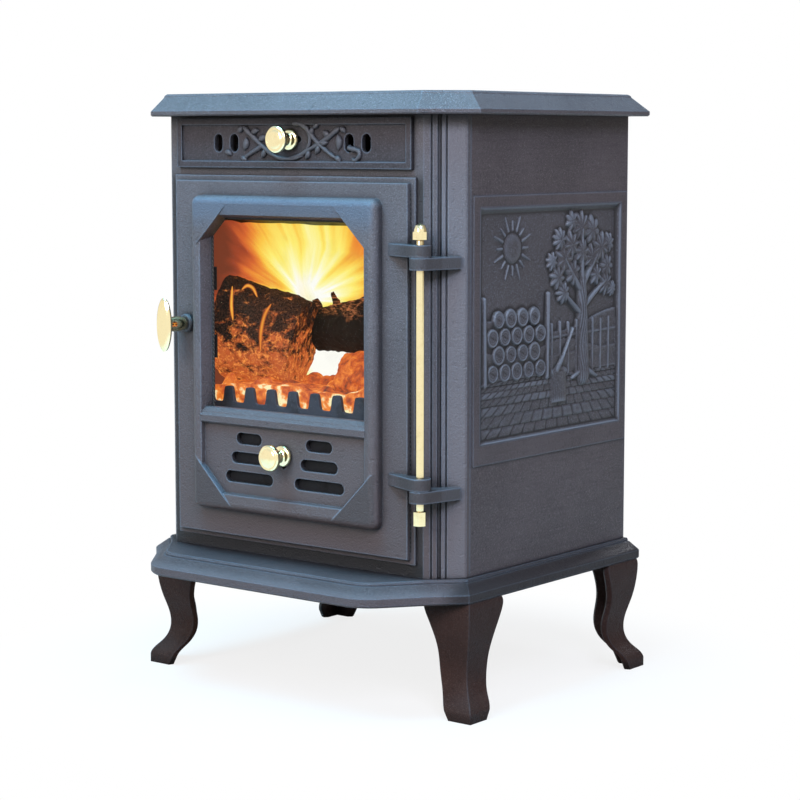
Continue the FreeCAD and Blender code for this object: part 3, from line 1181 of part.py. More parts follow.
def leg_casting():
    """Cabriole leg: an angle section that swells at the shoulder, bends in and splays to an upright toe."""
    first = LEG_SHAPE[0]
    foot = leg_section(first[1], LEG_TOE_WING, 0.0)
    toe = Part.makeLoft([foot, leg_section(first[1], first[2], LEG_TOE_HEIGHT)], True, True)
    rise = LEG_HEIGHT - LEG_TOE_HEIGHT
    wires = [leg_section(offset, wing, LEG_TOE_HEIGHT + share * rise) for share, offset, wing in LEG_SHAPE]
    upper = Part.makeLoft(wires, True, False)
    offset = LEG_SHAPE[-1][1]
    x = LEG_TOE_X + offset / ROOT_2
    y = -LEG_FRONT_TOE_Y - offset / ROOT_2
    inset = LEG_WALL / 2
    pad = box(x - LEG_PAD_SIZE, x - inset, y + inset, y + LEG_PAD_SIZE, LEG_HEIGHT - LEG_PAD_THICKNESS,
              LEG_HEIGHT)
    return fuse(toe, upper, pad)


def leg_hole(place):
    """Hole for a tie rod through a leg's pad."""
    return cylinder(TIE_ROD_RADIUS + TIE_ROD_HOLE_GAP,
                    (place[0], place[1], LEG_HEIGHT - LEG_PAD_THICKNESS - 1),
                    (0, 0, 1), LEG_PAD_THICKNESS + 2)


def front_right_leg():
    """Leg at the front corner."""
    return leg_casting().cut(leg_hole(tie_rod_places()[0]))


def rear_right_leg():
    """The same leg turned to face the rear corner."""
    solid = leg_casting().mirror(Vector(0, 0, 0), Vector(0, 1, 0))
    solid.translate(Vector(0, LEG_REAR_TOE_Y - LEG_FRONT_TOE_Y, 0))
    return solid.cut(leg_hole(tie_rod_places()[2]))


def tie_rods():
    """Long rods from under the leg pads to bosses in the top plate."""
    low = LEG_HEIGHT - LEG_PAD_THICKNESS - TIE_NUT_HEIGHT
    top = BODY_TOP + TIE_ROD_TOP_BITE
    return Part.makeCompound([cylinder(TIE_ROD_RADIUS, (x, y, low), (0, 0, 1), top - low)
                              for x, y in tie_rod_places()])


def tie_rod_nuts():
    """Nuts under the leg pads."""
    low = LEG_HEIGHT - LEG_PAD_THICKNESS - TIE_NUT_HEIGHT
    nuts = []
    for x, y in tie_rod_places():
        nut = hexagon(TIE_NUT_RADIUS, (x, y, low), (0, 0, 1), TIE_NUT_HEIGHT)
        nuts.append(nut.cut(cylinder(TIE_ROD_RADIUS + CASTING_GAP / 3, (x, y, low - 1), (0, 0, 1),
                                     TIE_NUT_HEIGHT + 2)))
    return Part.makeCompound(nuts)


def grate_frame():
    """Cast frame that carries the grate and the bricks, resting on the side panels' lugs."""
    side = INSIDE_X - BRICK_GAP
    tongue = GUARD_HALF_WIDTH + 6.0
    rear = BACK_INSIDE - BRICK_GAP
    front = -GUARD_FRONT - GUARD_THICKNESS / 2
    right = [(tongue, front), (tongue, -BRICK_FRONT), (side, -BRICK_FRONT), (side, BRICK_REAR),
             (REAR_BRICK_HALF_WIDTH, BRICK_REAR), (REAR_BRICK_HALF_WIDTH, rear)]
    left = [(-x, y) for x, y in reversed(right)]
    solid = plate_xy(right + left, GRATE_FRAME_BOTTOM, GRATE_FRAME_TOP)
    opening = box(-GRATE_OPENING_X, GRATE_OPENING_X, -GRATE_FRONT, GRATE_REAR, GRATE_FRAME_BOTTOM - 1,
                  GRATE_FRAME_TOP + 1)
    rebate = box(-GRATE_OPENING_X - GRATE_LEDGE, GRATE_OPENING_X + GRATE_LEDGE, -GRATE_FRONT - GRATE_LEDGE,
                 GRATE_REAR + GRATE_LEDGE, GRATE_FRAME_TOP - GRATE_REBATE, GRATE_FRAME_TOP + 1)
    return solid.cut(Part.makeCompound([opening, rebate]))


def grate():
    """Slotted grate that drops into the frame's rebate."""
    x = GRATE_OPENING_X + GRATE_LEDGE - GRATE_GAP
    front, rear = -GRATE_FRONT - GRATE_LEDGE + GRATE_GAP, GRATE_REAR + GRATE_LEDGE - GRATE_GAP
    low = GRATE_FRAME_TOP - GRATE_REBATE
    solid = box(-x, x, front, rear, low, low + GRATE_THICKNESS)
    pitch = GRATE_SLOT + GRATE_BAR
    inner = GRATE_OPENING_X - GRATE_RIM
    count = int((2 * inner - GRATE_SLOT) // pitch)
    slots = []
    for i in range(count + 1):
        centre = (i - count / 2) * pitch
        slots.append(box(centre - GRATE_SLOT / 2, centre + GRATE_SLOT / 2, front + GRATE_RIM + GRATE_LEDGE,
                         rear - GRATE_RIM - GRATE_LEDGE, low - 1, low + GRATE_THICKNESS + 1))
    return solid.cut(Part.makeCompound(slots))


def log_guard():
    """Toothed bar behind the glass that keeps logs off the door."""
    low = GRATE_FRAME_TOP
    top = low + GUARD_HEIGHT
    root = top - GUARD_NOTCH_DEPTH
    solid = box(-GUARD_HALF_WIDTH, GUARD_HALF_WIDTH, -GUARD_FRONT, -GUARD_FRONT + GUARD_THICKNESS, low, top)
    count = int(2 * GUARD_HALF_WIDTH // GUARD_PITCH)
    wide = (GUARD_PITCH - GUARD_TOOTH_TOP) / 2
    narrow = (GUARD_PITCH - GUARD_TOOTH_BASE) / 2
    notches = []
    for i in range(count):
        x = (i - (count - 1) / 2) * GUARD_PITCH
        round_end = cylinder(narrow, (x, -GUARD_FRONT - 1, root + narrow), (0, 1, 0), GUARD_THICKNESS + 2)
        points = [(x - narrow, root + narrow), (x + narrow, root + narrow), (x + wide, top + 1),
                  (x - wide, top + 1)]
        notches.append(fuse(round_end, plate_xz(points, -GUARD_FRONT - 1,
                                                -GUARD_FRONT + GUARD_THICKNESS + 1)))
    return solid.cut(Part.makeCompound(notches))


def side_firebrick():
    """Right firebrick standing on the grate frame."""
    return box(BRICK_INNER, BRICK_OUTER, -BRICK_FRONT, BRICK_REAR, GRATE_FRAME_TOP, BRICK_TOP)


def rear_firebrick():
    """Firebrick against the back panel, below the flue."""
    rear = BACK_INSIDE - BRICK_GAP
    front = rear - BRICK_THICKNESS
    half = min(REAR_BRICK_HALF_WIDTH, BRICK_INNER - BRICK_GAP)
    return box(-half, half, front, rear, GRATE_FRAME_TOP, BRICK_TOP)


def baffle_slope():
    """Drop of the baffle's underside over a lug's width."""
    return LUG_WIDTH * BAFFLE_RISE / baffle_run()


def baffle_run():
    """Length of the baffle's sloping part in plan."""
    return baffle_heel() + BAFFLE_FRONT


def baffle_heel():
    """Where the baffle's slope starts, at the front edge of the rear brick."""
    return BACK_INSIDE - BRICK_GAP - BRICK_THICKNESS


def baffle_underside(y):
    """Height of the baffle's underside at a depth."""
    return BRICK_TOP + BAFFLE_RISE * (baffle_heel() - y) / baffle_run()


def baffle_plate():
    """Sloping plate over the fire, resting on the rear brick and on lugs at the front."""
    half = INSIDE_X - BRICK_GAP
    heel = baffle_heel()
    t = BAFFLE_THICKNESS
    points = [(heel + BAFFLE_SEAT, BRICK_TOP), (heel, BRICK_TOP), (-BAFFLE_FRONT, BRICK_TOP + BAFFLE_RISE),
              (-BAFFLE_FRONT, BRICK_TOP + BAFFLE_RISE + t), (heel, BRICK_TOP + t),
              (heel + BAFFLE_SEAT, BRICK_TOP + t)]
    return plate_yz(points, -half, half)


def ash_pan():
    """Open sheet-steel ash pan with a finger lip, standing on the base's runners."""
    half = PAN_WIDTH / 2
    rear = -PAN_FRONT + PAN_LENGTH
    solid = box(-half, half, -PAN_FRONT, rear, PAN_BOTTOM, PAN_BOTTOM + PAN_HEIGHT)
    hollow = box(-half + PAN_SHEET, half - PAN_SHEET, -PAN_FRONT + PAN_SHEET, rear - PAN_SHEET,
                 PAN_BOTTOM + PAN_SHEET, PAN_BOTTOM + PAN_HEIGHT + 1)
    top = PAN_BOTTOM + PAN_HEIGHT
    lip = box(-PAN_LIP_WIDTH / 2, PAN_LIP_WIDTH / 2, -PAN_FRONT - PAN_LIP_REACH, -PAN_FRONT + PAN_SHEET,
              top - PAN_SHEET, top)
    return fuse(solid.cut(hollow), lip)


def save(name, shape):
    """Move a piece into the stove's frame and write it."""
    moved = shape.copy()
    moved.translate(Vector(0, ORIGIN_SHIFT, 0))
    moved.exportStep("parts/" + name + ".step")


def main():
    """Build every piece and write it to the parts folder."""
    os.makedirs("parts", exist_ok=True)
    leg_front, leg_rear = front_right_leg(), rear_right_leg()
    panel, brick = side_panel(), side_firebrick()
    pieces = {
        "base_plate": base_plate(), "front_frame": front_frame(), "back_panel": back_panel(),
        "right_side_panel": panel, "left_side_panel": mirror_x(panel), "top_plate": top_plate(),
        "blanking_plate": blanking_plate(), "blanking_clamp": blanking_clamp(),
        "blanking_bolt": blanking_bolt(),
        "flue_collar": flue_collar(), "flue_collar_bolts": flue_collar_bolts(),
        "vent_panel": vent_panel(), "vent_panel_screws": vent_panel_screws(),
        "secondary_slider": secondary_slider(), "secondary_knob": knob(0.0, VENT_FLOOR, VENT_KNOB_Z),
        "door": door(), "door_glass": door_glass(), "glass_gasket": glass_gasket(),
        "glass_clips": glass_clips(),
        "glass_clip_screws": glass_clip_screws(), "door_rope_seal": door_rope_seal(),
        "primary_guides": primary_guides(), "primary_slider": primary_slider(),
        "primary_knob": knob(0.0, PANEL_FACE,
                             PRIMARY_Z), "handle_bush": handle_bush(), "handle_knob": handle_knob(),
        "latch_spindle": latch_spindle(), "latch_cam": latch_cam(), "latch_nut": latch_nut(),
        "hinge_rod": hinge_rod(), "hinge_cap_nut": hinge_cap_nut(), "hinge_lower_nut": hinge_lower_nut(),
        "front_right_leg": leg_front, "front_left_leg": mirror_x(leg_front),
        "rear_right_leg": leg_rear, "rear_left_leg": mirror_x(leg_rear),
        "tie_rods": tie_rods(), "tie_rod_nuts": tie_rod_nuts(),
        "grate_frame": grate_frame(), "grate": grate(), "log_guard": log_guard(),
        "right_firebrick": brick, "left_firebrick": mirror_x(brick), "rear_firebrick": rear_firebrick(),
        "baffle_plate": baffle_plate(), "ash_pan": ash_pan(),
    }
    for name, shape in pieces.items():
        save(name, shape)


main()
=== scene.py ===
"""Small cast-iron wood stove: the looks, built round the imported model."""
import logging
import math
from dataclasses import dataclass
from enum import Enum
from functools import partial
from typing import Callable, Mapping, Optional, Sequence, Union

import bpy
import numpy as np
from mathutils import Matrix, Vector


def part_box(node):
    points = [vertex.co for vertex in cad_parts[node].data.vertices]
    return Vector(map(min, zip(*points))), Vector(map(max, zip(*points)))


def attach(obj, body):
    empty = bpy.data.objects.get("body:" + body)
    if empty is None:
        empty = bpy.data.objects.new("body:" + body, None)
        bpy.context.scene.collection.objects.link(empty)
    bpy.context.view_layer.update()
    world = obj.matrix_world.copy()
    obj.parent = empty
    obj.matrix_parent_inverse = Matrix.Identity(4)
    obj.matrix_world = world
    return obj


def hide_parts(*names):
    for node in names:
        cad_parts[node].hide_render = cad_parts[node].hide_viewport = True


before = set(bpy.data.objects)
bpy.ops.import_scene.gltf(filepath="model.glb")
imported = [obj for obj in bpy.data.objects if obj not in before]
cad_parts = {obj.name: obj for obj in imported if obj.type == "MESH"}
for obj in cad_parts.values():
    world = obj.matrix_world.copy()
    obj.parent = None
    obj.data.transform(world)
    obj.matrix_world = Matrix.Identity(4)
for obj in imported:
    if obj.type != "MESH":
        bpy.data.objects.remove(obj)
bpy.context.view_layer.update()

LOG = logging.getLogger("wood_stove")
MM = 0.001
TURN = 2.0 * math.pi
POLE = 0.05  # a turned end closes at this radius, in millimetres
Colour = Place = tuple[float, float, float]
Span = tuple[float, float]
Point = Sequence[float]
Array = np.ndarray
Piece = bpy.types.Object
Material = bpy.types.Material


class Body(str, Enum):
    """The rigid bodies of the frame that new pieces ride on."""

    STOVE = "stove"
    PRIMARY = "primary_air"
    SECONDARY = "secondary_air"
    HANDLE = "handle"


class Slot(str, Enum):
    """Material slot names for new pieces."""

    PAINT = "painted_iron"
    IRON = "bare_iron"
    BRASS = "brass"
    BRICK = "firebrick"


class Side(Enum):
    """The two cast side panels, by the sign of X."""

    LEFT = -1
    RIGHT = 1


def scaled(colour: Colour, by: float) -> Colour:
    """The colour made lighter or darker."""
    return tuple(by * part for part in colour)


def circle(count: int) -> Array:
    """Even angles once round, from 0."""
    return np.linspace(0.0, TURN, count, endpoint=False)


def arched(x: Array) -> Array:
    """A round arch over -1 to 1: the root of 1 - x squared, and 0 outside."""
    return np.sqrt(np.clip(1 - x**2, 0.0, 1.0))


def bell(x: Array, middle: float, width: float) -> Array:
    """A bell: e to the minus ((x - middle) / width) squared."""
    return np.exp(-(((x - middle) / width) ** 2))


def highest(*heights: Array) -> Array:
    """The greatest of the heights at each place."""
    return np.maximum.reduce(heights)


def node_box(node: str) -> tuple[Array, Array]:
    """The low and the high corner of a CAD node, in millimetres."""
    low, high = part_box(node)
    return np.array(low) / MM, np.array(high) / MM


def blurred(field: Array, reach: float) -> Array:
    """A grid smoothed by a Gaussian of that many cells, worked out as a product of Fourier transforms.

    Args:
        field: the grid.
        reach: the Gaussian's spread, in cells.
    Returns:
        The smoothed grid.
    """
    rows = np.fft.fftfreq(field.shape[0])[:, None]
    cols = np.fft.fftfreq(field.shape[1])[None]
    kept = np.exp(-2.0 * (math.pi * reach) ** 2 * (rows**2 + cols**2))
    return np.fft.ifft2(np.fft.fft2(field) * kept).real


def smooth_path(points: Sequence[Point], count: int) -> Array:
    """Catmull-Rom curve: each span is the cubic whose end slopes are half the chord of the neighbours.

    Args:
        points: the points that the curve passes through.
        count: the number of samples along it.
    Returns:
        The samples, one row each.
    """
    p = np.asarray(points, float)
    last = len(p) - 2
    p = np.vstack([2 * p[0] - p[1], p, 2 * p[-1] - p[-2]])
    t = np.linspace(0.0, last + 1.0, count)
    k = np.minimum(t.astype(int), last)
    f = (t - k)[:, None]
    a, b, c, d = p[k], p[k + 1], p[k + 2], p[k + 3]
    curve = 2 * b + (c - a) * f + (2 * a - 5 * b + 4 * c - d) * f**2 + (3 * b - a - 3 * c + d) * f**3
    return 0.5 * curve


def eased(points: Sequence[Point], reach: float, rounds: int = 2) -> Array:
    """A polyline with its corners rounded by corner cutting.

    Each corner gives way to the points at reach along its two sides, at most 0.45 of a side, and
    then every side is cut again at a quarter and three quarters, as many times as rounds says.

    Args:
        points: the corners.
        reach: how far from a corner the rounding starts.
        rounds: the number of later cuts.
    Returns:
        The rounded polyline with the same two ends.
    """
    p = np.asarray(points, float)
    side = np.linalg.norm(np.diff(p, axis=0), axis=1, keepdims=True)
    share = np.minimum(reach / np.maximum(side, 1e-9), 0.45)
    near = p[:-1] + share * np.diff(p, axis=0)
    far = p[1:] - share * np.diff(p, axis=0)
    p = np.vstack([p[:1], np.stack([near, far], 1).reshape(-1, p.shape[1])[1:-1], p[-1:]])
    for _ in range(rounds):
        q = 0.75 * p[:-1] + 0.25 * p[1:]
        r = 0.25 * p[:-1] + 0.75 * p[1:]
        p = np.vstack([p[:1], np.stack([q, r], 1).reshape(-1, p.shape[1]), p[-1:]])
    return p


def resampled(points: Array, count: int) -> Array:
    """The polyline's points at even steps of its length.

    Args:
        points: the polyline.
        count: the number of points.
    Returns:
        The new points, one row each.
    """
    run = np.concatenate([[0.0], np.cumsum(np.linalg.norm(np.diff(points, axis=0), axis=1))])
    at = np.linspace(0.0, run[-1], count)
    return np.stack([np.interp(at, run, points[:, k]) for k in range(points.shape[1])], axis=1)


def lattice_noise(p: Array, cell: float, seed: int, octaves: int = 3) -> Array:
    """Value noise: random numbers on a lattice, blended by the smooth step 3f2 - 2f3 in each direction.

    Args:
        p: points, with the coordinates on the last axis.
        cell: the lattice's pitch; each octave halves it and its weight.
        seed: picks the random numbers.
        octaves: the number of layers.
    Returns:
        One number for each point, about -1 to 1.
    """
    table = np.random.default_rng(seed).uniform(-1.0, 1.0, (32, 32, 32))
    total = np.zeros(p.shape[:-1])
    weight, whole = 1.0, 0.0
    for octave in range(octaves):
        q = p / cell * 2**octave + 7.3 * octave
        i = np.floor(q).astype(int)
        f = q - i
        f = f * f * (3 - 2 * f)
        for corner in np.ndindex(2, 2, 2):
            c = np.array(corner)
            k = (i + c) % 32
            share = np.prod(np.where(c, f, 1 - f), axis=-1)
            total += weight * share * table[k[..., 0], k[..., 1], k[..., 2]]
        whole += weight
        weight *= 0.5
    return total / whole


def put_mesh(name: str, points: Array, faces: list[list[int]], uv: Optional[Array] = None) -> Piece:
    """A smooth-shaded object at the origin from points in millimetres.

    Args:
        name: the object's name.
        points: one row for each vertex.
        faces: vertex numbers of each face.
        uv: two numbers for each vertex, kept as the map "flow".
    Returns:
        The new object.
    """
    mesh = bpy.data.meshes.new(name)
    mesh.from_pydata((points * MM).tolist(), [], faces)
    mesh.polygons.foreach_set("use_smooth", np.ones(len(mesh.polygons), bool))
    if uv is not None:
        corners = np.empty(len(mesh.loops), np.int32)
        mesh.loops.foreach_get("vertex_index", corners)
        layer = mesh.uv_layers.new(name="flow")
        layer.data.foreach_set("uv", uv[corners].astype(np.float32).ravel())
    mesh.update()
    made = bpy.data.objects.new(name, mesh)
    bpy.context.scene.collection.objects.link(made)
    return made


def skin(name: str, rings: Array, uv: Optional[Array] = None) -> Piece:
    """A closed skin over rings of points; the first and last ring are closed by one flat face each.

    The faces are turned so that the volume, a sixth of the sum of the corners' triple products, is
    positive, which makes them point outwards.

    Args:
        name: the object's name.
        rings: array of rings by points by three.
        uv: two numbers for each point.
    Returns:
        The new object.
    """
    rows, around, _ = rings.shape
    here = np.arange(rows * around).reshape(rows, around)
    there = np.roll(here, -1, axis=1)
    quads = np.stack([here[:-1], there[:-1], there[1:], here[1:]], -1).reshape(-1, 4)
    points = rings.reshape(-1, 3)
    a, b, c, d = (points[quads[:, k]] for k in range(4))
    volume = np.einsum("ij,ij->", a - points[0], np.cross(b - points[0], c - points[0]))
    volume += np.einsum("ij,ij->", a - points[0], np.cross(c - points[0], d - points[0]))
    caps = [here[0][::-1].tolist(), here[-1].tolist()]
    faces = quads.tolist() + caps
    if volume < 0:
        faces = [face[::-1] for face in faces]
    return put_mesh(name, points, faces, None if uv is None else uv.reshape(-1, 2))


def sheet(name: str, grid: Array, uv: Array) -> Piece:
    """An open sheet over a grid of points.

    Args:
        name: the object's name.
        grid: array of rows by columns by three.
        uv: two numbers for each point.
    Returns:
        The new object.
    """
    rows, cols, _ = grid.shape
    here = np.arange(rows * cols).reshape(rows, cols)
    quads = np.stack([here[:-1, :-1], here[:-1, 1:], here[1:, 1:], here[1:, :-1]], -1).reshape(-1, 4)
    return put_mesh(name, grid.reshape(-1, 3), quads.tolist(), uv.reshape(-1, 2))


def turned(name: str, profile: Array, centre: Point, axis: str, sides: int = 72) -> Piece:
    """A turned piece: every profile point goes round the axis on a circle or, with two radii, an ellipse.

    Args:
        name: the object's name.
        profile: rows of (distance along, radius) or (distance along, half width, half height).
        centre: where the profile's distance is zero, in millimetres.
        axis: "front" for a piece that points to -Y, "up" for one that points to +Z.
        sides: the number of points round it.
    Returns:
        The new object.
    """
    angle = circle(sides)
    wide = profile[:, 1, None] * np.cos(angle)
    tall = profile[:, -1, None] * np.sin(angle)
    along = np.repeat(profile[:, :1], sides, axis=1)
    parts = (wide, -along, tall) if axis == "front" else (wide, tall, along)
    return skin(name, np.stack(parts, -1) + np.asarray(centre, float))


def swept(name: str, path: Array, half: Array, rise: Array, sides: int = 14) -> Piece:
    """A raised strand on a wall that faces -Y: an oval section carried along a path in the wall.

    Args:
        name: the object's name.
        path: rows of (x, y, z) with constant y.
        half: half width in the wall at each path point.
        rise: half thickness out of the wall at each path point.
        sides: the number of points round the section.
    Returns:
        The new object; its map runs from least at the wall to most on the crest, for painted shade low down
        and paint wear with a painted highlight on top.
    """
    run = np.gradient(path, axis=0)
    run /= np.linalg.norm(run, axis=1, keepdims=True)
    across = np.stack([-run[:, 2], np.zeros(len(run)), run[:, 0]], 1)
    angle = circle(sides)
    flat = half[:, None, None] * np.cos(angle)[None, :, None] * across[:, None, :]
    out = rise[:, None] * np.sin(angle)[None, :]
    rings = path[:, None, :] + flat
    rings[:, :, 1] += out
    rubbed_and_shaded = np.broadcast_to(0.25 - 0.65 * np.sin(angle)[None], rings.shape[:2])
    return skin(name, rings, np.stack([rubbed_and_shaded, rubbed_and_shaded], -1))


def height_slab(name: str, first: Array, second: Array, height: Array, under: float,
                place: Callable[[Array, Array, Array], Array],
                rubbed_and_shaded: Optional[Array] = None) -> Piece:
    """A closed slab whose upper face is a height over a grid and whose under face is flat.

    Args:
        name: the object's name.
        first: the grid's row positions.
        second: the grid's column positions.
        height: the height at each grid point.
        under: the height of the flat under face.
        place: turns arrays of (row position, column position, height) into points.
        rubbed_and_shaded: how convex each grid point is, kept in the map for painted shade in hollows and
            paint wear with a painted highlight on crests.
    Returns:
        The new object.
    """
    cols = np.concatenate([second, second[[-1, 0]]])
    level = np.concatenate([height, np.full((len(first), 2), under)], axis=1)
    rows = np.repeat(first[:, None], len(cols), axis=1)
    uv = np.zeros((*level.shape, 2))
    if rubbed_and_shaded is not None:
        uv[:, :-2] = rubbed_and_shaded[..., None]
    return skin(name, place(rows, np.repeat(cols[None], len(first), axis=0), level), uv)


class Val:
    """A node's socket that takes part in Python arithmetic."""

    def __init__(self, shader: "Shader", socket: bpy.types.NodeSocket) -> None:
        """Wraps one output socket of that shader's tree."""
        self.shader = shader
        self.socket = socket

    def maths(self, operation: str, *terms: "Term", clamp: bool = False) -> "Val":
        """The Math node of that operation over the terms."""
        settings = {"operation": operation, "use_clamp": clamp}
        return self.shader.node("ShaderNodeMath", settings, dict(enumerate(terms)))

    def __add__(self, other: "Term") -> "Val":
        """Sum."""
        return self.maths("ADD", self, other)

    __radd__ = __add__

    def __sub__(self, other: "Term") -> "Val":
        """Difference."""
        return self.maths("SUBTRACT", self, other)

    def __rsub__(self, other: "Term") -> "Val":
        """Difference from a number."""
        return self.maths("SUBTRACT", other, self)

    def __mul__(self, other: "Term") -> "Val":
        """Product."""
        return self.maths("MULTIPLY", self, other)

    __rmul__ = __mul__

    def clipped(self) -> "Val":
        """The value held between 0 and 1."""
        return self.maths("ADD", self, 0.0, clamp=True)

    def step(self, low: float, high: float) -> "Val":
        """A smooth step from 0 at low to 1 at high."""
        return self.shader.node("ShaderNodeMapRange", {"interpolation_type": "SMOOTHSTEP"},
                                {"Value": self, "From Min": low, "From Max": high})

    def fade(self, low: float, high: float) -> "Val":
        """A smooth step from 1 at low to 0 at high."""
        return 1.0 - self.step(low, high)


Term = Union[Val, float]
Paint = Union[Val, Colour]


class Shader:
    """One node tree and the few ways in which its nodes are made."""

    def __init__(self, tree: bpy.types.NodeTree) -> None:
        """Starts from an empty tree."""
        self.tree = tree
        tree.nodes.clear()

    def node(self, kind: str, settings: Optional[Mapping] = None, sockets: Optional[Mapping] = None,
             output: Union[int, str] = 0) -> Optional[Val]:
        """Adds a node.

        Args:
            kind: the node's type.
            settings: attributes, set first; "stops" are a ramp's (place, colour) pairs.
            sockets: values or links of the inputs, by name or number.
            output: which output is handed back.
        Returns:
            The wrapped output, or nothing from a node without outputs.
        """
        made = self.tree.nodes.new(kind)
        for key, value in (settings or {}).items():
            if key == "stops":
                self.fill_ramp(made.color_ramp, value)
            else:
                setattr(made, key, value)
        for key, value in (sockets or {}).items():
            socket = made.inputs[key]
            if isinstance(value, Val):
                self.tree.links.new(value.socket, socket)
            elif isinstance(value, tuple) and len(value) == 3 and socket.type == "RGBA":
                socket.default_value = (*value, 1.0)
            else:
                socket.default_value = value
        return Val(self, made.outputs[output]) if len(made.outputs) else None

    @staticmethod
    def fill_ramp(ramp: bpy.types.ColorRamp, stops: Sequence[tuple[float, Colour]]) -> None:
        """Puts the stops on a colour ramp.

        Args:
            ramp: the colour ramp.
            stops: its (place, colour) pairs.
        """
        for number, (place, colour) in enumerate(stops):
            stop = ramp.elements[number] if number < 2 else ramp.elements.new(place)
            stop.position = place
            stop.color = (*colour, 1.0)

    def coords(self, scale: Point = (1.0, 1.0, 1.0), flow: bool = False) -> Val:
        """Object coordinates, or the piece's own map, stretched by scale.

        Args:
            scale: the stretch along each axis.
            flow: whether the piece's own map is read.
        Returns:
            The coordinates.
        """
        if flow:
            source = self.node("ShaderNodeUVMap", {"uv_map": "flow"})
        else:
            source = self.node("ShaderNodeTexCoord", output="Object")
        return self.node("ShaderNodeMapping", sockets={"Vector": source, "Scale": tuple(scale)})

    def noise(self, scale: float, detail: float = 3.0, rough: float = 0.55, where: Optional[Val] = None,
              swirl: float = 0.0) -> Val:
        """Noise of that many cells to the metre.

        Args:
            scale: cells to the metre.
            detail: layers of finer noise.
            rough: the weight of the finer layers.
            where: coordinates in place of the object's.
            swirl: how far the cells are stirred.
        Returns:
            The noise, about 0 to 1.
        """
        sockets = {"Vector": where or self.coords(), "Scale": scale, "Detail": detail,
                   "Roughness": rough, "Distortion": swirl}
        return self.node("ShaderNodeTexNoise", {}, sockets)

    def mix(self, share: Term, first: Paint, second: Paint) -> Val:
        """Two colours blended."""
        return self.node("ShaderNodeMix", {"data_type": "RGBA"}, {0: share, 6: first, 7: second}, output=2)

    def ramp(self, value: Val, stops: Sequence[tuple[float, Colour]]) -> Val:
        """A value turned into a colour."""
        return self.node("ShaderNodeValToRGB", {"stops": stops}, {0: value})

    def part(self, vector: Val, axis: str) -> Val:
        """One coordinate of a vector."""
        return self.node("ShaderNodeSeparateXYZ", {}, {0: vector}, output=axis)

    def at(self, axis: str, flow: bool = False) -> Val:
        """One object coordinate, or one of the piece's own map."""
        return self.part(self.coords(flow=flow), axis)

    def shelter(self, reach: float) -> Val:
        """1 in the open and less in inside corners, looked for within that many metres."""
        return self.node("ShaderNodeAmbientOcclusion", {"samples": 6}, {"Distance": reach}, output="AO")

    def eased(self, reach: float) -> Val:
        """The normal with edges eased over that many metres."""
        return self.node("ShaderNodeBevel", {"samples": 6}, {"Radius": reach})

    def rim(self, reach: float) -> Val:
        """0 on flat ground and more near edges: how far the eased normal leans from the plain one.

        Args:
            reach: the eased edges' radius, in metres.
        Returns:
            The lean.
        """
        plain = self.node("ShaderNodeNewGeometry", output="Normal")
        return 1.0 - self.node("ShaderNodeVectorMath", {"operation": "DOT_PRODUCT"},
                               {0: self.eased(reach), 1: plain}, output="Value")

    def bump(self, height: Val, depth: float, strength: float = 1.0, edge: float = 0.0) -> Val:
        """A bumped normal, over edges that are eased by a small radius.

        Args:
            height: the relief, about 0 to 1.
            depth: what 1 stands for, in metres.
            strength: how much of it shows.
            edge: the radius of the eased edges, in metres.
        Returns:
            The normal.
        """
        sockets = {"Height": height, "Distance": depth, "Strength": strength}
        if edge:
            sockets["Normal"] = self.eased(edge)
        return self.node("ShaderNodeBump", {}, sockets)

    def surface(self, **sockets: Union[Term, Paint]) -> None:
        """Ends the tree with a Principled shader; names use _ for a space.

        Args:
            sockets: the shader's inputs.
        """
        named = {key.replace("_", " "): value for key, value in sockets.items()}
        shader = self.node("ShaderNodeBsdfPrincipled", {}, named)
        self.node("ShaderNodeOutputMaterial", {}, {"Surface": shader})


def new_finish(name: str) -> tuple[Material, Shader]:
    """A new material and its empty shader.

    Args:
        name: the material's name.
    Returns:
        The material and its shader.
    """
    material = bpy.data.materials.new(name)
    material.use_nodes = True
    return material, Shader(material.node_tree)


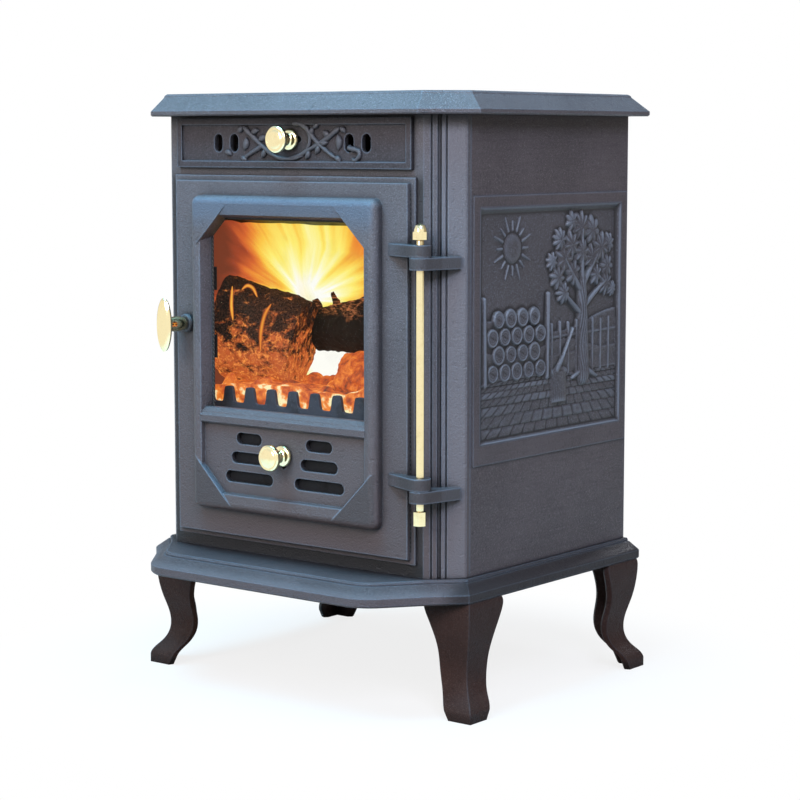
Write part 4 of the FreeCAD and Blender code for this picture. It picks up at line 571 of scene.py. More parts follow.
@dataclass(frozen=True)
class FrontMarks:
    """Where the painted shade, painted shadow, painted highlights and brown tone on the cast front begin and
    end, in metres.
    """

    frame_face: Span = (-0.1492, -0.1486)
    sill_top: Span = (0.1500, 0.1530)
    sill_end: Span = (0.1600, 0.1660)
    jamb_in: Span = (0.1545, 0.1575)
    jamb_out: Span = (0.1635, 0.1665)
    jamb_top: Span = (0.520, 0.535)
    cant_in: Span = (0.1755, 0.1790)
    cant_out: Span = (0.1930, 0.1945)
    cant_plane: Place = (0.868, -0.496, 0.2262)
    lug_rise: Span = (0.0012, 0.0020)
    lug_in: Span = (0.1300, 0.1600)
    lug_bands: tuple = (((0.2166, 0.2172), (0.2411, 0.2417)), ((0.4399, 0.4405), (0.4644, 0.4650)))
    raised_face: Span = (-0.1700, -0.1660)
    # sheen_band: the heights of the painted blue highlight on the door's raised frame
    sheen_band: Span = (0.466, 0.496)
    browned: Span = (0.17, 0.42)
    gusset_slant: float = 0.1220
    gusset_low: Span = (0.1880, 0.1920)
    gusset_high: Span = (0.2385, 0.2405)
    gusset_out: Span = (0.1185, 0.1205)
    gusset_face: Span = (-0.1640, -0.1600)
    brown: Colour = (0.090, 0.066, 0.066)
    # blue: the colour of that painted highlight
    blue: Colour = (0.100, 0.160, 0.235)

    def lay(self, s: Shader, tone: Val, paint: "CastPaint") -> Val:
        """Marks the front by place.

        It is brownish low down and has a painted blue highlight on the door's raised frame above the glass.
        The door's lower gussets are darkened by painted shade under a painted highlight along the slant, the
        canted corners get a painted highlight, the hinge lugs are darkened by painted shade and the gaps
        along the door's sill and jambs are blackened by painted shadow.

        Args:
            s: the shader.
            tone: the paint so far.
            paint: the finish that is marked.
        Returns:
            The marked paint.
        """
        across, deep, up = (s.at(axis) for axis in "XYZ")
        aside = across.maths("ABSOLUTE", across)
        behind = deep.step(*self.frame_face)
        # sill and jamb: the gaps round the door, blackened by painted shadow
        sill = up.fade(*self.sill_top) * aside.fade(*self.sill_end)
        jamb = aside.step(*self.jamb_in) * aside.fade(*self.jamb_out) * up.fade(*self.jamb_top)
        # cant_highlight: a painted highlight on the canted corners
        cant_highlight = aside.step(*self.cant_in) * aside.fade(*self.cant_out) * behind
        low_band, high_band = (up.step(*low) * up.fade(*high) for low, high in self.lug_bands)
        over, back, plane = self.cant_plane
        proud = (over * across + back * deep - plane).step(*self.lug_rise)
        # lug: the hinge lugs, darkened by painted shade
        lug = across.step(*self.lug_in) * (proud + 1.0 - behind).clipped() * (low_band + high_band)
        # heat: the painted blue highlight on the door's raised frame above the glass
        heat = up.step(*self.sheen_band) * deep.fade(*self.raised_face)
        slant = self.gusset_slant + aside - up
        # gusset: the door's lower gussets, darkened by painted shade
        gusset = up.step(*self.gusset_low) * up.fade(*self.gusset_high) * aside.fade(*self.gusset_out)
        gusset = gusset * deep.fade(*self.gusset_face)
        # slant_highlight: a painted highlight along the gussets' slant
        slant_highlight = slant.step(-0.0022, -0.0008) * slant.fade(0.0, 0.0012)
        tone = s.mix(up.step(*self.browned), s.mix(0.8, tone, self.brown), tone)
        # painted highlights, painted shade and painted shadow, laid on in turn
        for share, shade in ((heat * 0.48, self.blue),
                             (slant.step(0.0, 0.002) * gusset * 0.55, scaled(paint.tone, 0.30)),
                             (slant_highlight * gusset * 0.5, paint.highlight_tone), (cant_highlight * 0.40, paint.wear_and_highlight),
                             (lug * 0.65, scaled(paint.tone, 0.25)),
                             ((sill + 0.8 * jamb).clipped() * behind, scaled(paint.tone, 0.10))):
            tone = s.mix(share, tone, shade)
        return tone


@dataclass(frozen=True)
class CastPaint:
    """Matt charcoal stove paint over sandy cast iron: edges eased and given a painted highlight, inside
    corners darkened by soot and painted shade.
    """

    name: str = "cast_paint"
    tone: Colour = (0.092, 0.084, 0.093)
    # wear_and_highlight: the colour of paint wear on specks, crests and lips, and of painted highlights on
    # crests and canted corners
    wear_and_highlight: Colour = (0.21, 0.21, 0.235)
    # highlight_tone: the colour of the painted highlight on edges
    highlight_tone: Colour = (0.20, 0.25, 0.32)
    grain: float = 560.0
    depth: float = 0.0008
    edge: float = 0.0014
    rough: float = 0.46
    gloss: float = 0.38
    # corner and soot: the reach and depth of the darkening in inside corners, for soot and painted shade
    corner: float = 0.020
    soot: float = 0.20
    # highlight_share: how strongly the painted edge highlight shows
    highlight_share: float = 0.55
    streak: float = 0.0
    # rubbed_and_shaded: share of paint wear and painted highlight on crests; when set, hollows get painted
    # shade too
    rubbed_and_shaded: float = 0.0
    lip: float = 0.0
    lip_top: Span = (0.1270, 0.1330)
    # right_shade: share of painted shade on the right side, and where it starts
    right_shade: float = 0.0
    right_shade_edge: Span = (0.185, 0.205)
    marks: Optional[FrontMarks] = None

    def make(self) -> Material:
        """Sandy grain and specks over a slow cloudy tone, with soot and painted shade in the corners and a
        painted highlight on the edges.

        A streaked piece has faint level lines. With rubbed_and_shaded set, a piece is darkened in its
        hollows by painted shade and lighter on its crests, from paint wear and a painted highlight, by what
        its map says.
        A lip is lighter below its height, and the right side is darkened by painted shade.

        Returns:
            The material.
        """
        material, s = new_finish(self.name)
        grain = s.noise(self.grain, 4.0, 0.62)
        speck = s.noise(self.grain * 1.7, 2.0, 0.6)
        cloud = s.noise(11.0, 3.0)
        pits = s.noise(self.grain * 0.32, 2.0).step(0.55, 0.75)
        tone = s.mix(cloud.step(0.3, 0.7), scaled(self.tone, 0.86), scaled(self.tone, 1.14))
        tone = s.mix(pits * 0.55, tone, scaled(self.tone, 0.55))
        tone = s.mix(grain.step(0.50, 0.74) * 0.30 + speck.step(0.55, 0.68) * 0.72, tone, self.wear_and_highlight)
        height = grain + 0.5 * speck - 0.35 * pits
        if self.streak:
            lines = s.noise(1.0, 3.0, 0.6, s.coords((60.0, 26.0, 420.0)))
            tone = s.mix(lines.step(0.45, 0.7) * self.streak, tone, scaled(self.tone, 0.55))
            height = height + self.streak * lines
        if self.rubbed_and_shaded:
            # painted shade in the hollows, then paint wear and a painted highlight on the crests
            crest = s.at("X", flow=True)
            tone = s.mix(crest.step(0.06, 0.46), scaled(self.tone, 0.30), tone)
            tone = s.mix(crest.step(0.54, 0.92) * self.rubbed_and_shaded, tone, self.wear_and_highlight)
        if self.marks:
            tone = self.marks.lay(s, tone, self)
        # the lip is made lighter below its height
        if self.lip:
            tone = s.mix(s.at("Z").fade(*self.lip_top) * self.lip, tone, self.wear_and_highlight)
        # painted shade on the right side
        if self.right_shade:
            tone = s.mix(s.at("X").step(*self.right_shade_edge) * self.right_shade, tone, scaled(self.tone, 0.3))
        # inside corners darkened towards the soot share: soot and painted shade
        open_air = s.shelter(self.corner)
        tone = s.mix(open_air.step(0.32, 0.88), scaled(self.tone, self.soot), tone)
        # painted highlight along convex edges
        if self.edge:
            edge = s.rim(2.2 * self.edge).step(0.01, 0.14) * open_air.step(0.60, 0.85)
            tone = s.mix(edge * self.highlight_share, tone, self.highlight_tone)
        rough = self.rough - 0.08 + 0.16 * s.noise(70.0, 2.0)
        s.surface(Base_Color=tone, Roughness=rough, Specular_IOR_Level=self.gloss,
                  Normal=s.bump(height, self.depth, 0.9, self.edge))
        return material


@dataclass(frozen=True)
class PolishedBrass:
    """Lacquered polished brass with faint cloudy tarnish, brown in its corners from tarnish and painted
    shade.
    """

    name: str = "polished_brass"
    tone: Colour = (0.95, 0.82, 0.48)
    tarnish: Colour = (0.80, 0.60, 0.27)
    brown: Colour = (0.20, 0.11, 0.035)

    def make(self) -> Material:
        """Bright metal whose gloss and tint wander a little.

        Returns:
            The material.
        """
        material, s = new_finish(self.name)
        cloud = s.noise(90.0, 4.0, 0.6)
        scuffs = s.noise(1500.0, 2.0)
        tone = s.mix(cloud.step(0.45, 0.8) * 0.4, self.tone, self.tarnish)
        # corners browned: tarnish and painted shade
        tone = s.mix(s.shelter(0.012).step(0.20, 0.80), self.brown, tone)
        rough = 0.10 + 0.06 * cloud.step(0.4, 0.75) + 0.04 * scuffs
        s.surface(Base_Color=tone, Metallic=1.0, Roughness=rough, Normal=s.bump(scuffs, 0.00004, 0.5))
        return material


@dataclass(frozen=True)
class DullSteel:
    """Rolled steel with fine drawn lines and a thin oxide bloom."""

    name: str = "dull_steel"
    tone: Colour = (0.36, 0.36, 0.37)
    bloom: Colour = (0.16, 0.12, 0.09)

    def make(self) -> Material:
        """Lines along X, brown bloom in patches.

        Returns:
            The material.
        """
        material, s = new_finish(self.name)
        lines = s.noise(1.0, 2.0, 0.5, s.coords((60.0, 900.0, 900.0)))
        bloom = s.noise(60.0, 4.0).step(0.52, 0.75)
        tone = s.mix(bloom * 0.7, s.mix(lines * 0.5, self.tone, scaled(self.tone, 0.6)), self.bloom)
        s.surface(Base_Color=tone, Metallic=0.9 - 0.5 * bloom, Roughness=0.36 + 0.3 * bloom + 0.1 * lines,
                  Normal=s.bump(lines, 0.00005, 0.6, 0.0005))
        return material


@dataclass(frozen=True)
class FireIron:
    """Bare cast iron by the fire: blue-grey scale with sooty and ashy patches."""

    name: str = "fire_iron"
    tone: Colour = (0.040, 0.046, 0.062)
    soot: Colour = (0.012, 0.011, 0.011)
    ash: Colour = (0.16, 0.15, 0.14)
    gloss: float = 0.4

    def make(self) -> Material:
        """Scale with soot in the hollows and a dusting of ash.

        Returns:
            The material.
        """
        material, s = new_finish(self.name)
        grain = s.noise(420.0, 4.0, 0.6)
        soot = s.noise(45.0, 3.0).step(0.5, 0.7)
        dust = s.noise(150.0, 3.0).step(0.62, 0.78)
        tone = s.mix(dust * 0.35, s.mix(soot * 0.6, self.tone, self.soot), self.ash)
        s.surface(Base_Color=tone, Roughness=0.62 + 0.2 * soot, Specular_IOR_Level=self.gloss,
                  Normal=s.bump(grain, 0.0005, 0.8, 0.0011))
        return material


@dataclass(frozen=True)
class FireClay:
    """Fired clay lining, sooted and scorched in patches."""

    name: str = "fire_clay"
    tone: Colour = (0.44, 0.34, 0.25)
    grog: Colour = (0.60, 0.52, 0.42)
    soot: Colour = (0.05, 0.04, 0.035)

    def make(self) -> Material:
        """Pale clay with grog specks, small pits and soot.

        Returns:
            The material.
        """
        material, s = new_finish(self.name)
        specks = s.noise(330.0, 2.0).step(0.58, 0.68)
        pits = s.noise(190.0, 3.0).step(0.6, 0.75)
        scorch = s.noise(17.0, 4.0, 0.6).step(0.38, 0.66)
        tone = s.mix(scorch * 0.85, s.mix(specks, self.tone, self.grog), self.soot)
        s.surface(Base_Color=tone, Roughness=0.9, Normal=s.bump(specks - pits, 0.0005, 0.7, 0.0012))
        return material


@dataclass(frozen=True)
class FibreRope:
    """Braided fibre rope and tape round the glass and the door."""

    name: str = "fibre_rope"
    tone: Colour = (0.030, 0.029, 0.028)
    pale: Colour = (0.095, 0.090, 0.085)

    def make(self) -> Material:
        """Crossed diagonal strands with loose pale fibres.

        Returns:
            The material.
        """
        material, s = new_finish(self.name)
        one, two = (s.node("ShaderNodeTexWave", {"bands_direction": "DIAGONAL"},
                           {"Vector": s.coords((way, 1.0, 1.0)), "Scale": 140.0, "Distortion": 0.4},
                           output="Fac") for way in (1.0, -1.0))
        weave = one * two
        fuzz = s.noise(1400.0, 2.0)
        tone = s.mix((weave * 0.7 + fuzz * 0.3).step(0.2, 0.8), self.tone, self.pale)
        s.surface(Base_Color=tone, Roughness=0.93, Normal=s.bump(weave + 0.3 * fuzz, 0.0008, 0.8))
        return material


@dataclass(frozen=True)
class CeramicGlass:
    """Clear heat-proof window with a faint warm tint and a trace of smoke."""

    name: str = "ceramic_glass"
    tone: Colour = (0.16, 0.11, 0.07)
    clear: float = 0.03
    smoke: float = 0.07
    gloss: float = 0.12

    def make(self) -> Material:
        """Almost clear, with cloudy smoke that gathers slowly over the pane.

        Returns:
            The material.
        """
        material, s = new_finish(self.name)
        haze = s.noise(26.0, 4.0, 0.6).step(0.5, 0.85)
        s.surface(Base_Color=self.tone, Roughness=0.03 + 0.2 * haze, Alpha=self.clear + self.smoke * haze,
                  IOR=1.46, Specular_IOR_Level=self.gloss)
        return material


@dataclass(frozen=True)
class CharredBark:
    """Burning bark: black scale over brown wood with glowing cracks, hotter low down."""

    name: str = "charred_bark"
    char: Colour = (0.010, 0.007, 0.006)
    brown: Colour = (0.10, 0.042, 0.022)
    glow: Colour = (0.50, 0.095, 0.020)
    spark: Colour = (0.95, 0.32, 0.06)
    heat: float = 0.60
    low: float = 0.29
    high: float = 0.43
    bark_low: float = 9.0
    bark_high: float = 9.1

    def make(self) -> Material:
        """Blotches of ember light through the scale, with a ragged edge, and bare bark above a height, whose
        ribs carry a painted highlight of firelight.

        Returns:
            The material.
        """
        material, s = new_finish(self.name)
        up = s.at("Z")
        cold = up.step(self.low, self.high)
        blotch = s.noise(62.0, 5.0, 0.68, s.coords((0.75, 1.0, 1.0)), 0.6)
        crack = s.noise(210.0, 4.0, 0.7, None, 0.8)
        hot = (blotch + 0.35 * crack - 0.34 * cold + (self.heat - 0.5)).step(0.54, 0.74)
        fine = s.noise(520.0, 3.0, 0.6)
        ribs = s.noise(1.0, 4.0, 0.6, s.coords((60.0, 90.0, 420.0)), 0.6)
        bare = (up + 0.05 * blotch - 0.025).step(self.bark_low, self.bark_high)
        tone = s.mix((fine + 0.4 * blotch).step(0.5, 0.9), self.char, self.brown)
        tone = s.mix(bare, tone, s.mix(ribs.step(0.42, 0.62), (0.02, 0.008, 0.005), (0.36, 0.15, 0.07)))
        ember = s.mix((crack + 0.3 * fine).step(0.62, 0.86), self.glow, self.spark)
        light = s.mix(hot, (0.0, 0.0, 0.0), ember)
        # painted highlight of firelight on the bare bark's ribs
        light = s.mix(bare * ribs.step(0.48, 0.68) * 0.8, light, (0.40, 0.115, 0.034))
        s.surface(Base_Color=tone, Roughness=0.95, Specular_IOR_Level=0.1, Emission_Color=light,
                  Emission_Strength=1.0, Normal=s.bump(crack + 0.5 * fine, 0.0016, 0.9))
        return material


@dataclass(frozen=True)
class GlowingCoals:
    """Ember bed: orange-red coals with grey ash skins and, by the guard, white-hot gaps."""

    name: str = "glowing_coals"
    ash: Colour = (0.10, 0.030, 0.018)
    ember: Colour = (0.58, 0.095, 0.016)
    hot: Colour = (0.95, 0.28, 0.04)
    white: Colour = (1.0, 0.90, 0.50)
    front: float = -0.096

    def make(self) -> Material:
        """Soft coal blotches with a few white-hot spots, most of them in front.

        Returns:
            The material.
        """
        material, s = new_finish(self.name)
        soft = s.noise(70.0, 4.0, 0.62, None, 0.4)
        fine = s.noise(330.0, 3.0, 0.6)
        draught = s.at("Y").fade(self.front - 0.010, self.front)
        heat = soft + 0.25 * fine + 0.28 * draught * s.noise(46.0, 2.0).step(0.40, 0.60)
        light = s.ramp(heat, ((0.42, self.ash), (0.60, self.ember), (0.80, self.hot), (0.92, self.white)))
        s.surface(Base_Color=(0.05, 0.02, 0.015), Roughness=1.0, Specular_IOR_Level=0.1,
                  Emission_Color=light, Emission_Strength=1.0, Normal=s.bump(heat, 0.0012, 0.7))
        return material


@dataclass(frozen=True)
class FlameLight:
    """Flame seen through glass; the map runs along (angle, distance) from the hottest place."""

    name: str = "flame_light"
    fade: bool = False
    ragged: float = 1.0
    cool: float = 1.0
    soft: Span = (0.10, 0.85)

    def make(self) -> Material:
        """White heart, then yellow, orange and red, broken into long streaks that run outwards.

        Returns:
            The material.
        """
        material, s = new_finish(self.name)
        far = s.at("Y", flow=True)
        broad = s.noise(1.0, 2.0, 0.5, s.coords((2.2, 0.55, 1.0), flow=True), 0.6)
        thin = s.noise(1.0, 3.0, 0.6, s.coords((7.0, 0.9, 1.0), flow=True), 0.5)
        torn = self.ragged * far.step(0.02, 0.50)
        reach = self.cool * far + torn * ((broad - 0.5) * 1.55 + (thin - 0.5) * 0.50)
        stops = ((0.11, (1.0, 1.0, 0.93)), (0.21, (1.0, 0.96, 0.45)), (0.35, (1.0, 0.85, 0.17)),
                 (0.48, (0.98, 0.58, 0.07)), (0.60, (0.86, 0.28, 0.04)), (0.71, (0.66, 0.13, 0.03)),
                 (0.83, (0.36, 0.06, 0.022)), (1.0, (0.18, 0.040, 0.018)))
        light = s.ramp(reach * 0.60, stops)
        sockets = {"Base_Color": (0.0, 0.0, 0.0), "Roughness": 1.0, "Specular_IOR_Level": 0.0,
                   "Emission_Color": light, "Emission_Strength": 1.04}
        if self.fade:
            sockets["Alpha"] = (far + (thin - 0.5) * 0.4).fade(*self.soft)
        s.surface(**sockets)
        return material


class Finishes:
    """Every finish of the stove, made once and handed out by name."""

    def __init__(self) -> None:
        """Makes the materials."""
        self.paint = CastPaint().make()
        self.frame_paint = CastPaint("frame_paint", marks=FrontMarks()).make()
        self.top_paint = CastPaint(
            "top_paint", tone=(0.080, 0.066, 0.070), wear_and_highlight=(0.23, 0.215, 0.23)).make()
        # base: inside corners darkened far out from the body for soot and painted shade, and painted shade
        # on the right side
        self.base_paint = CastPaint(
            "base_paint", tone=(0.064, 0.050, 0.052), wear_and_highlight=(0.15, 0.13, 0.14), gloss=0.16,
            corner=0.055, soot=0.22, right_shade=0.85, lip=0.45).make()
        self.side_paint = CastPaint(
            "side_paint", tone=(0.086, 0.070, 0.074), wear_and_highlight=(0.22, 0.19, 0.20), gloss=0.28,
            corner=0.006, soot=0.5, streak=0.3).make()
        self.leg_paint = CastPaint(
            "leg_paint", tone=(0.042, 0.022, 0.018), wear_and_highlight=(0.095, 0.056, 0.047), gloss=0.08,
            highlight_tone=(0.09, 0.08, 0.085)).make()
        # a darker copy of the paint for the vent panel: painted shade under the top plate
        self.vent_paint = CastPaint(
            "vent_paint", tone=(0.050, 0.043, 0.047), wear_and_highlight=(0.125, 0.115, 0.13), gloss=0.2).make()
        self.relief_paint = CastPaint(
            "relief_paint", tone=(0.064, 0.056, 0.062), wear_and_highlight=(0.20, 0.22, 0.26), edge=0.0,
            depth=0.0004, corner=0.007, rubbed_and_shaded=0.75).make()
        self.sprig_paint = CastPaint(
            "sprig_paint", tone=(0.046, 0.042, 0.048), wear_and_highlight=(0.12, 0.125, 0.145), edge=0.0,
            depth=0.0005, corner=0.008, rubbed_and_shaded=0.45).make()
        self.brass = PolishedBrass().make()
        self.steel = DullSteel().make()
        self.iron = FireIron().make()
        self.soot = FireIron(
            "sooty_steel", tone=(0.014, 0.014, 0.016), ash=(0.032, 0.031, 0.031), gloss=0.16).make()
        self.clay = FireClay().make()
        self.rope = FibreRope().make()
        self.glass = CeramicGlass().make()
        self.bark = CharredBark().make()
        self.black_bark = CharredBark(
            "black_bark", heat=0.36, low=0.30, high=0.36, brown=(0.016, 0.009, 0.007),
            bark_low=0.378, bark_high=0.392).make()
        self.coals = GlowingCoals().make()
        self.flame = FlameLight().make()
        self.tongue = FlameLight("flame_tongue", fade=True, cool=0.75, soft=(0.02, 0.72)).make()
        self.lick = FlameLight("flame_lick", fade=True, ragged=0.30, cool=1.70, soft=(0.50, 1.0)).make()


def dress(finish: Material, *nodes: str) -> None:
    """Gives CAD nodes a finish through their material slots.

    Args:
        finish: the material.
        nodes: the CAD nodes' names.
    """
    for node in nodes:
        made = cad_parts[node]
        if not made.material_slots:
            made.data.materials.append(finish)
        for place in made.material_slots:
            place.material = finish
        LOG.info("dressed %s", node)


def settle(made: Piece, finish: Material, body: Body, slot: Slot, *nodes: str) -> None:
    """Finishes a new piece.

    Args:
        made: the piece.
        finish: its material.
        body: the body that it rides on.
        slot: a material slot name; not used.
        nodes: the CAD nodes that it stands for.
    """
    made.data.materials.append(finish)
    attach(made, body.value)
    if nodes:
        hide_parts(*nodes)
    LOG.info("piece %s on %s, %d faces", made.name, body.value, len(made.data.polygons))


@dataclass
class Dressed:
    """CAD nodes that keep their shape, by the finish that they get."""

    dressed: tuple[tuple[str, tuple[str, ...]], ...] = ()

    def build(self, finishes: Finishes) -> None:
        """Dresses each node."""
        for finish, nodes in self.dressed:
            dress(getattr(finishes, finish), *nodes)


@dataclass
class Casing(Dressed):
    """The cast casing, its legs and the hidden fixings, all carried over from the frame."""

    dressed: tuple[tuple[str, tuple[str, ...]], ...] = (
        ("paint", ("back_panel", "flue_collar", "handle_bush")),
        ("side_paint", ("left_side_panel", "right_side_panel")),
        ("frame_paint", ("front_frame", "door")),
        ("top_paint", ("top_plate", "blanking_plate")),
        ("base_paint", ("base_plate",)),
        ("vent_paint", ("vent_panel",)),
        ("leg_paint", ("front_left_leg", "front_right_leg", "rear_left_leg", "rear_right_leg")),
        ("steel", ("blanking_bolt", "flue_collar_bolts", "vent_panel_screws", "latch_spindle",
                   "latch_cam", "latch_nut", "tie_rods", "tie_rod_nuts", "ash_pan")),
        ("soot", ("secondary_slider", "primary_slider", "primary_guides", "glass_clips",
                  "glass_clip_screws")),
    )


@dataclass
class Firebox(Dressed):
    """Lining, grate, guard, baffle, glass and seals."""

    dressed: tuple[tuple[str, tuple[str, ...]], ...] = (
        ("iron", ("grate_frame", "grate", "baffle_plate", "blanking_clamp")),
        ("clay", ("left_firebrick", "right_firebrick", "rear_firebrick")),
        ("rope", ("glass_gasket", "door_rope_seal")),
        ("glass", ("door_glass",)),
    )
    tooth_pitch: float = 29.4
    tooth_top: float = 10.5
    tooth_foot: float = 15.5
    tooth_round: float = 1.8
    tooth_shift: float = 5.0
    gaps: int = 10
    gap_depth: float = 17.0
    guard_half: float = 150.0
    guard_thickness: float = 3.6

    def build(self, finishes: Finishes) -> None:
        """Dresses the lining and the window and makes the guard."""
        super().build(finishes)
        settle(self.guard(), finishes.iron, Body.STOVE, Slot.IRON, "log_guard")

    def guard(self) -> Piece:
        """A toothed bar: its top edge falls into each gap and rises again, each point a ring.

        Returns:
            The new object.
        """
        low, high = node_box("log_guard")
        top, root = high[2], high[2] - self.gap_depth
        wide = (self.tooth_pitch - self.tooth_top) / 2
        narrow = (self.tooth_pitch - self.tooth_foot) / 2
        centre = (np.arange(self.gaps) - (self.gaps - 1) / 2) * self.tooth_pitch + self.tooth_shift
        step = np.array([[-wide, top], [-narrow, root], [narrow, root], [wide, top]])
        inner = (centre[:, None, None] * np.array([1.0, 0.0]) + step).reshape(-1, 2)
        ends = ([-self.guard_half, top], [self.guard_half, top])
        edge = eased(np.vstack([ends[0], inner, ends[1]]), self.tooth_round)
        x, crest = edge.T
        foot = np.full(len(edge), low[2])
        front, back = low[1], low[1] + self.guard_thickness
        rings = np.stack([np.stack([x, np.full(len(edge), y), z], 1) for y, z in (
            (front, foot), (front, crest), (back, crest), (back, foot))], 1)
        made = skin("log_guard_toothed", rings)
        made.data.polygons.foreach_set("use_smooth", np.zeros(len(made.data.polygons), bool))
        return made


@dataclass
class BrassWork:
    """Turned knobs, oval handle, hinge rod and its nuts."""

    disc_radius: float = 13.6
    flange_radius: float = 11.0
    neck_radius: float = 4.8
    stem_radius: float = 7.4
    oval_half_width: float = 10.0
    oval_half_height: float = 28.0
    oval_thickness: float = 9.0
    rod_radius: float = 4.0

    def build(self, finishes: Finishes) -> None:
        """Makes each brass piece in the place of its CAD node.

        Args:
            finishes: the materials.
        """
        for node, body in (("primary_knob", Body.PRIMARY), ("secondary_knob", Body.SECONDARY)):
            settle(self.knob(node), finishes.brass, body, Slot.BRASS, node)
        settle(self.handle(), finishes.brass, Body.HANDLE, Slot.BRASS, "handle_knob")
        settle(self.rod(), finishes.brass, Body.STOVE, Slot.BRASS, "hinge_rod")
        dress(finishes.brass, "hinge_cap_nut", "hinge_lower_nut")

    @staticmethod
    def seat(node: str) -> tuple[float, float, float, float]:
        """The middle x, rear y, middle z and depth of a node, in millimetres."""
        low, high = node_box(node)
        return (low[0] + high[0]) / 2, high[1], (low[2] + high[2]) / 2, high[1] - low[1]

    def knob(self, node: str) -> Piece:
        """A flange, a waisted neck and a domed disc, turned about the axis to the front.

        Args:
            node: the CAD node that it stands for.
        Returns:
            The new object.
        """
        x, y, z, end = self.seat(node)
        r, f, n = self.disc_radius, self.flange_radius, self.neck_radius
        corners = ((0.0, POLE), (0.0, f), (2.8, f), (4.2, f * 0.86), (5.4, n * 1.15), (8.0, n),
                   (end - 10.8, n * 1.05), (end - 8.0, r * 0.62), (end - 6.8, r * 0.94), (end - 5.4, r),
                   (end - 3.6, r), (end - 2.0, r * 0.93), (end - 1.5, r * 0.80), (end - 2.1, r * 0.72),
                   (end - 1.3, r * 0.64), (end - 0.4, r * 0.36), (end, POLE))
        return turned(node + "_turned", eased(corners, 0.9), (x, y, z), "front")

    def handle(self) -> Piece:
        """A barrel-shaped stem under a lens-shaped oval, turned on an ellipse.

        Returns:
            The new object.
        """
        x, y, z, end = self.seat("handle_knob")
        r, w, h = self.stem_radius, self.oval_half_width, self.oval_half_height
        back = end - self.oval_thickness
        stem = ((0.0, r * 0.8), (2.0, r * 0.86), (6.0, r * 1.02), (back * 0.5, r * 1.10), (back - 5.0, r))
        sections = ((0.0, POLE, POLE), *((place, wide, wide) for place, wide in stem),
                    (back - 1.0, r * 0.84, r * 0.9), (back + 0.6, r * 0.9, r * 1.5),
                    (back + 2.6, w * 0.92, h * 0.92), (back + 4.6, w, h), (back + 6.4, w * 0.96, h * 0.97),
                    (back + 8.0, w * 0.72, h * 0.8), (end - 0.2, w * 0.3, h * 0.4), (end, POLE, POLE))
        return turned("handle_oval", eased(sections, 1.6), (x, y, z), "front", 96)

    def rod(self) -> Piece:
        """A plain round rod with rounded ends.

        Returns:
            The new object.
        """
        low, high = node_box("hinge_rod")
        length, r = high[2] - low[2], self.rod_radius
        profile = eased(((0.0, POLE), (0.0, r), (length, r), (length, POLE)), 0.8)
        foot = (*((low + high) / 2)[:2], low[2])
        return turned("hinge_rod_turned", profile, foot, "up", 48)


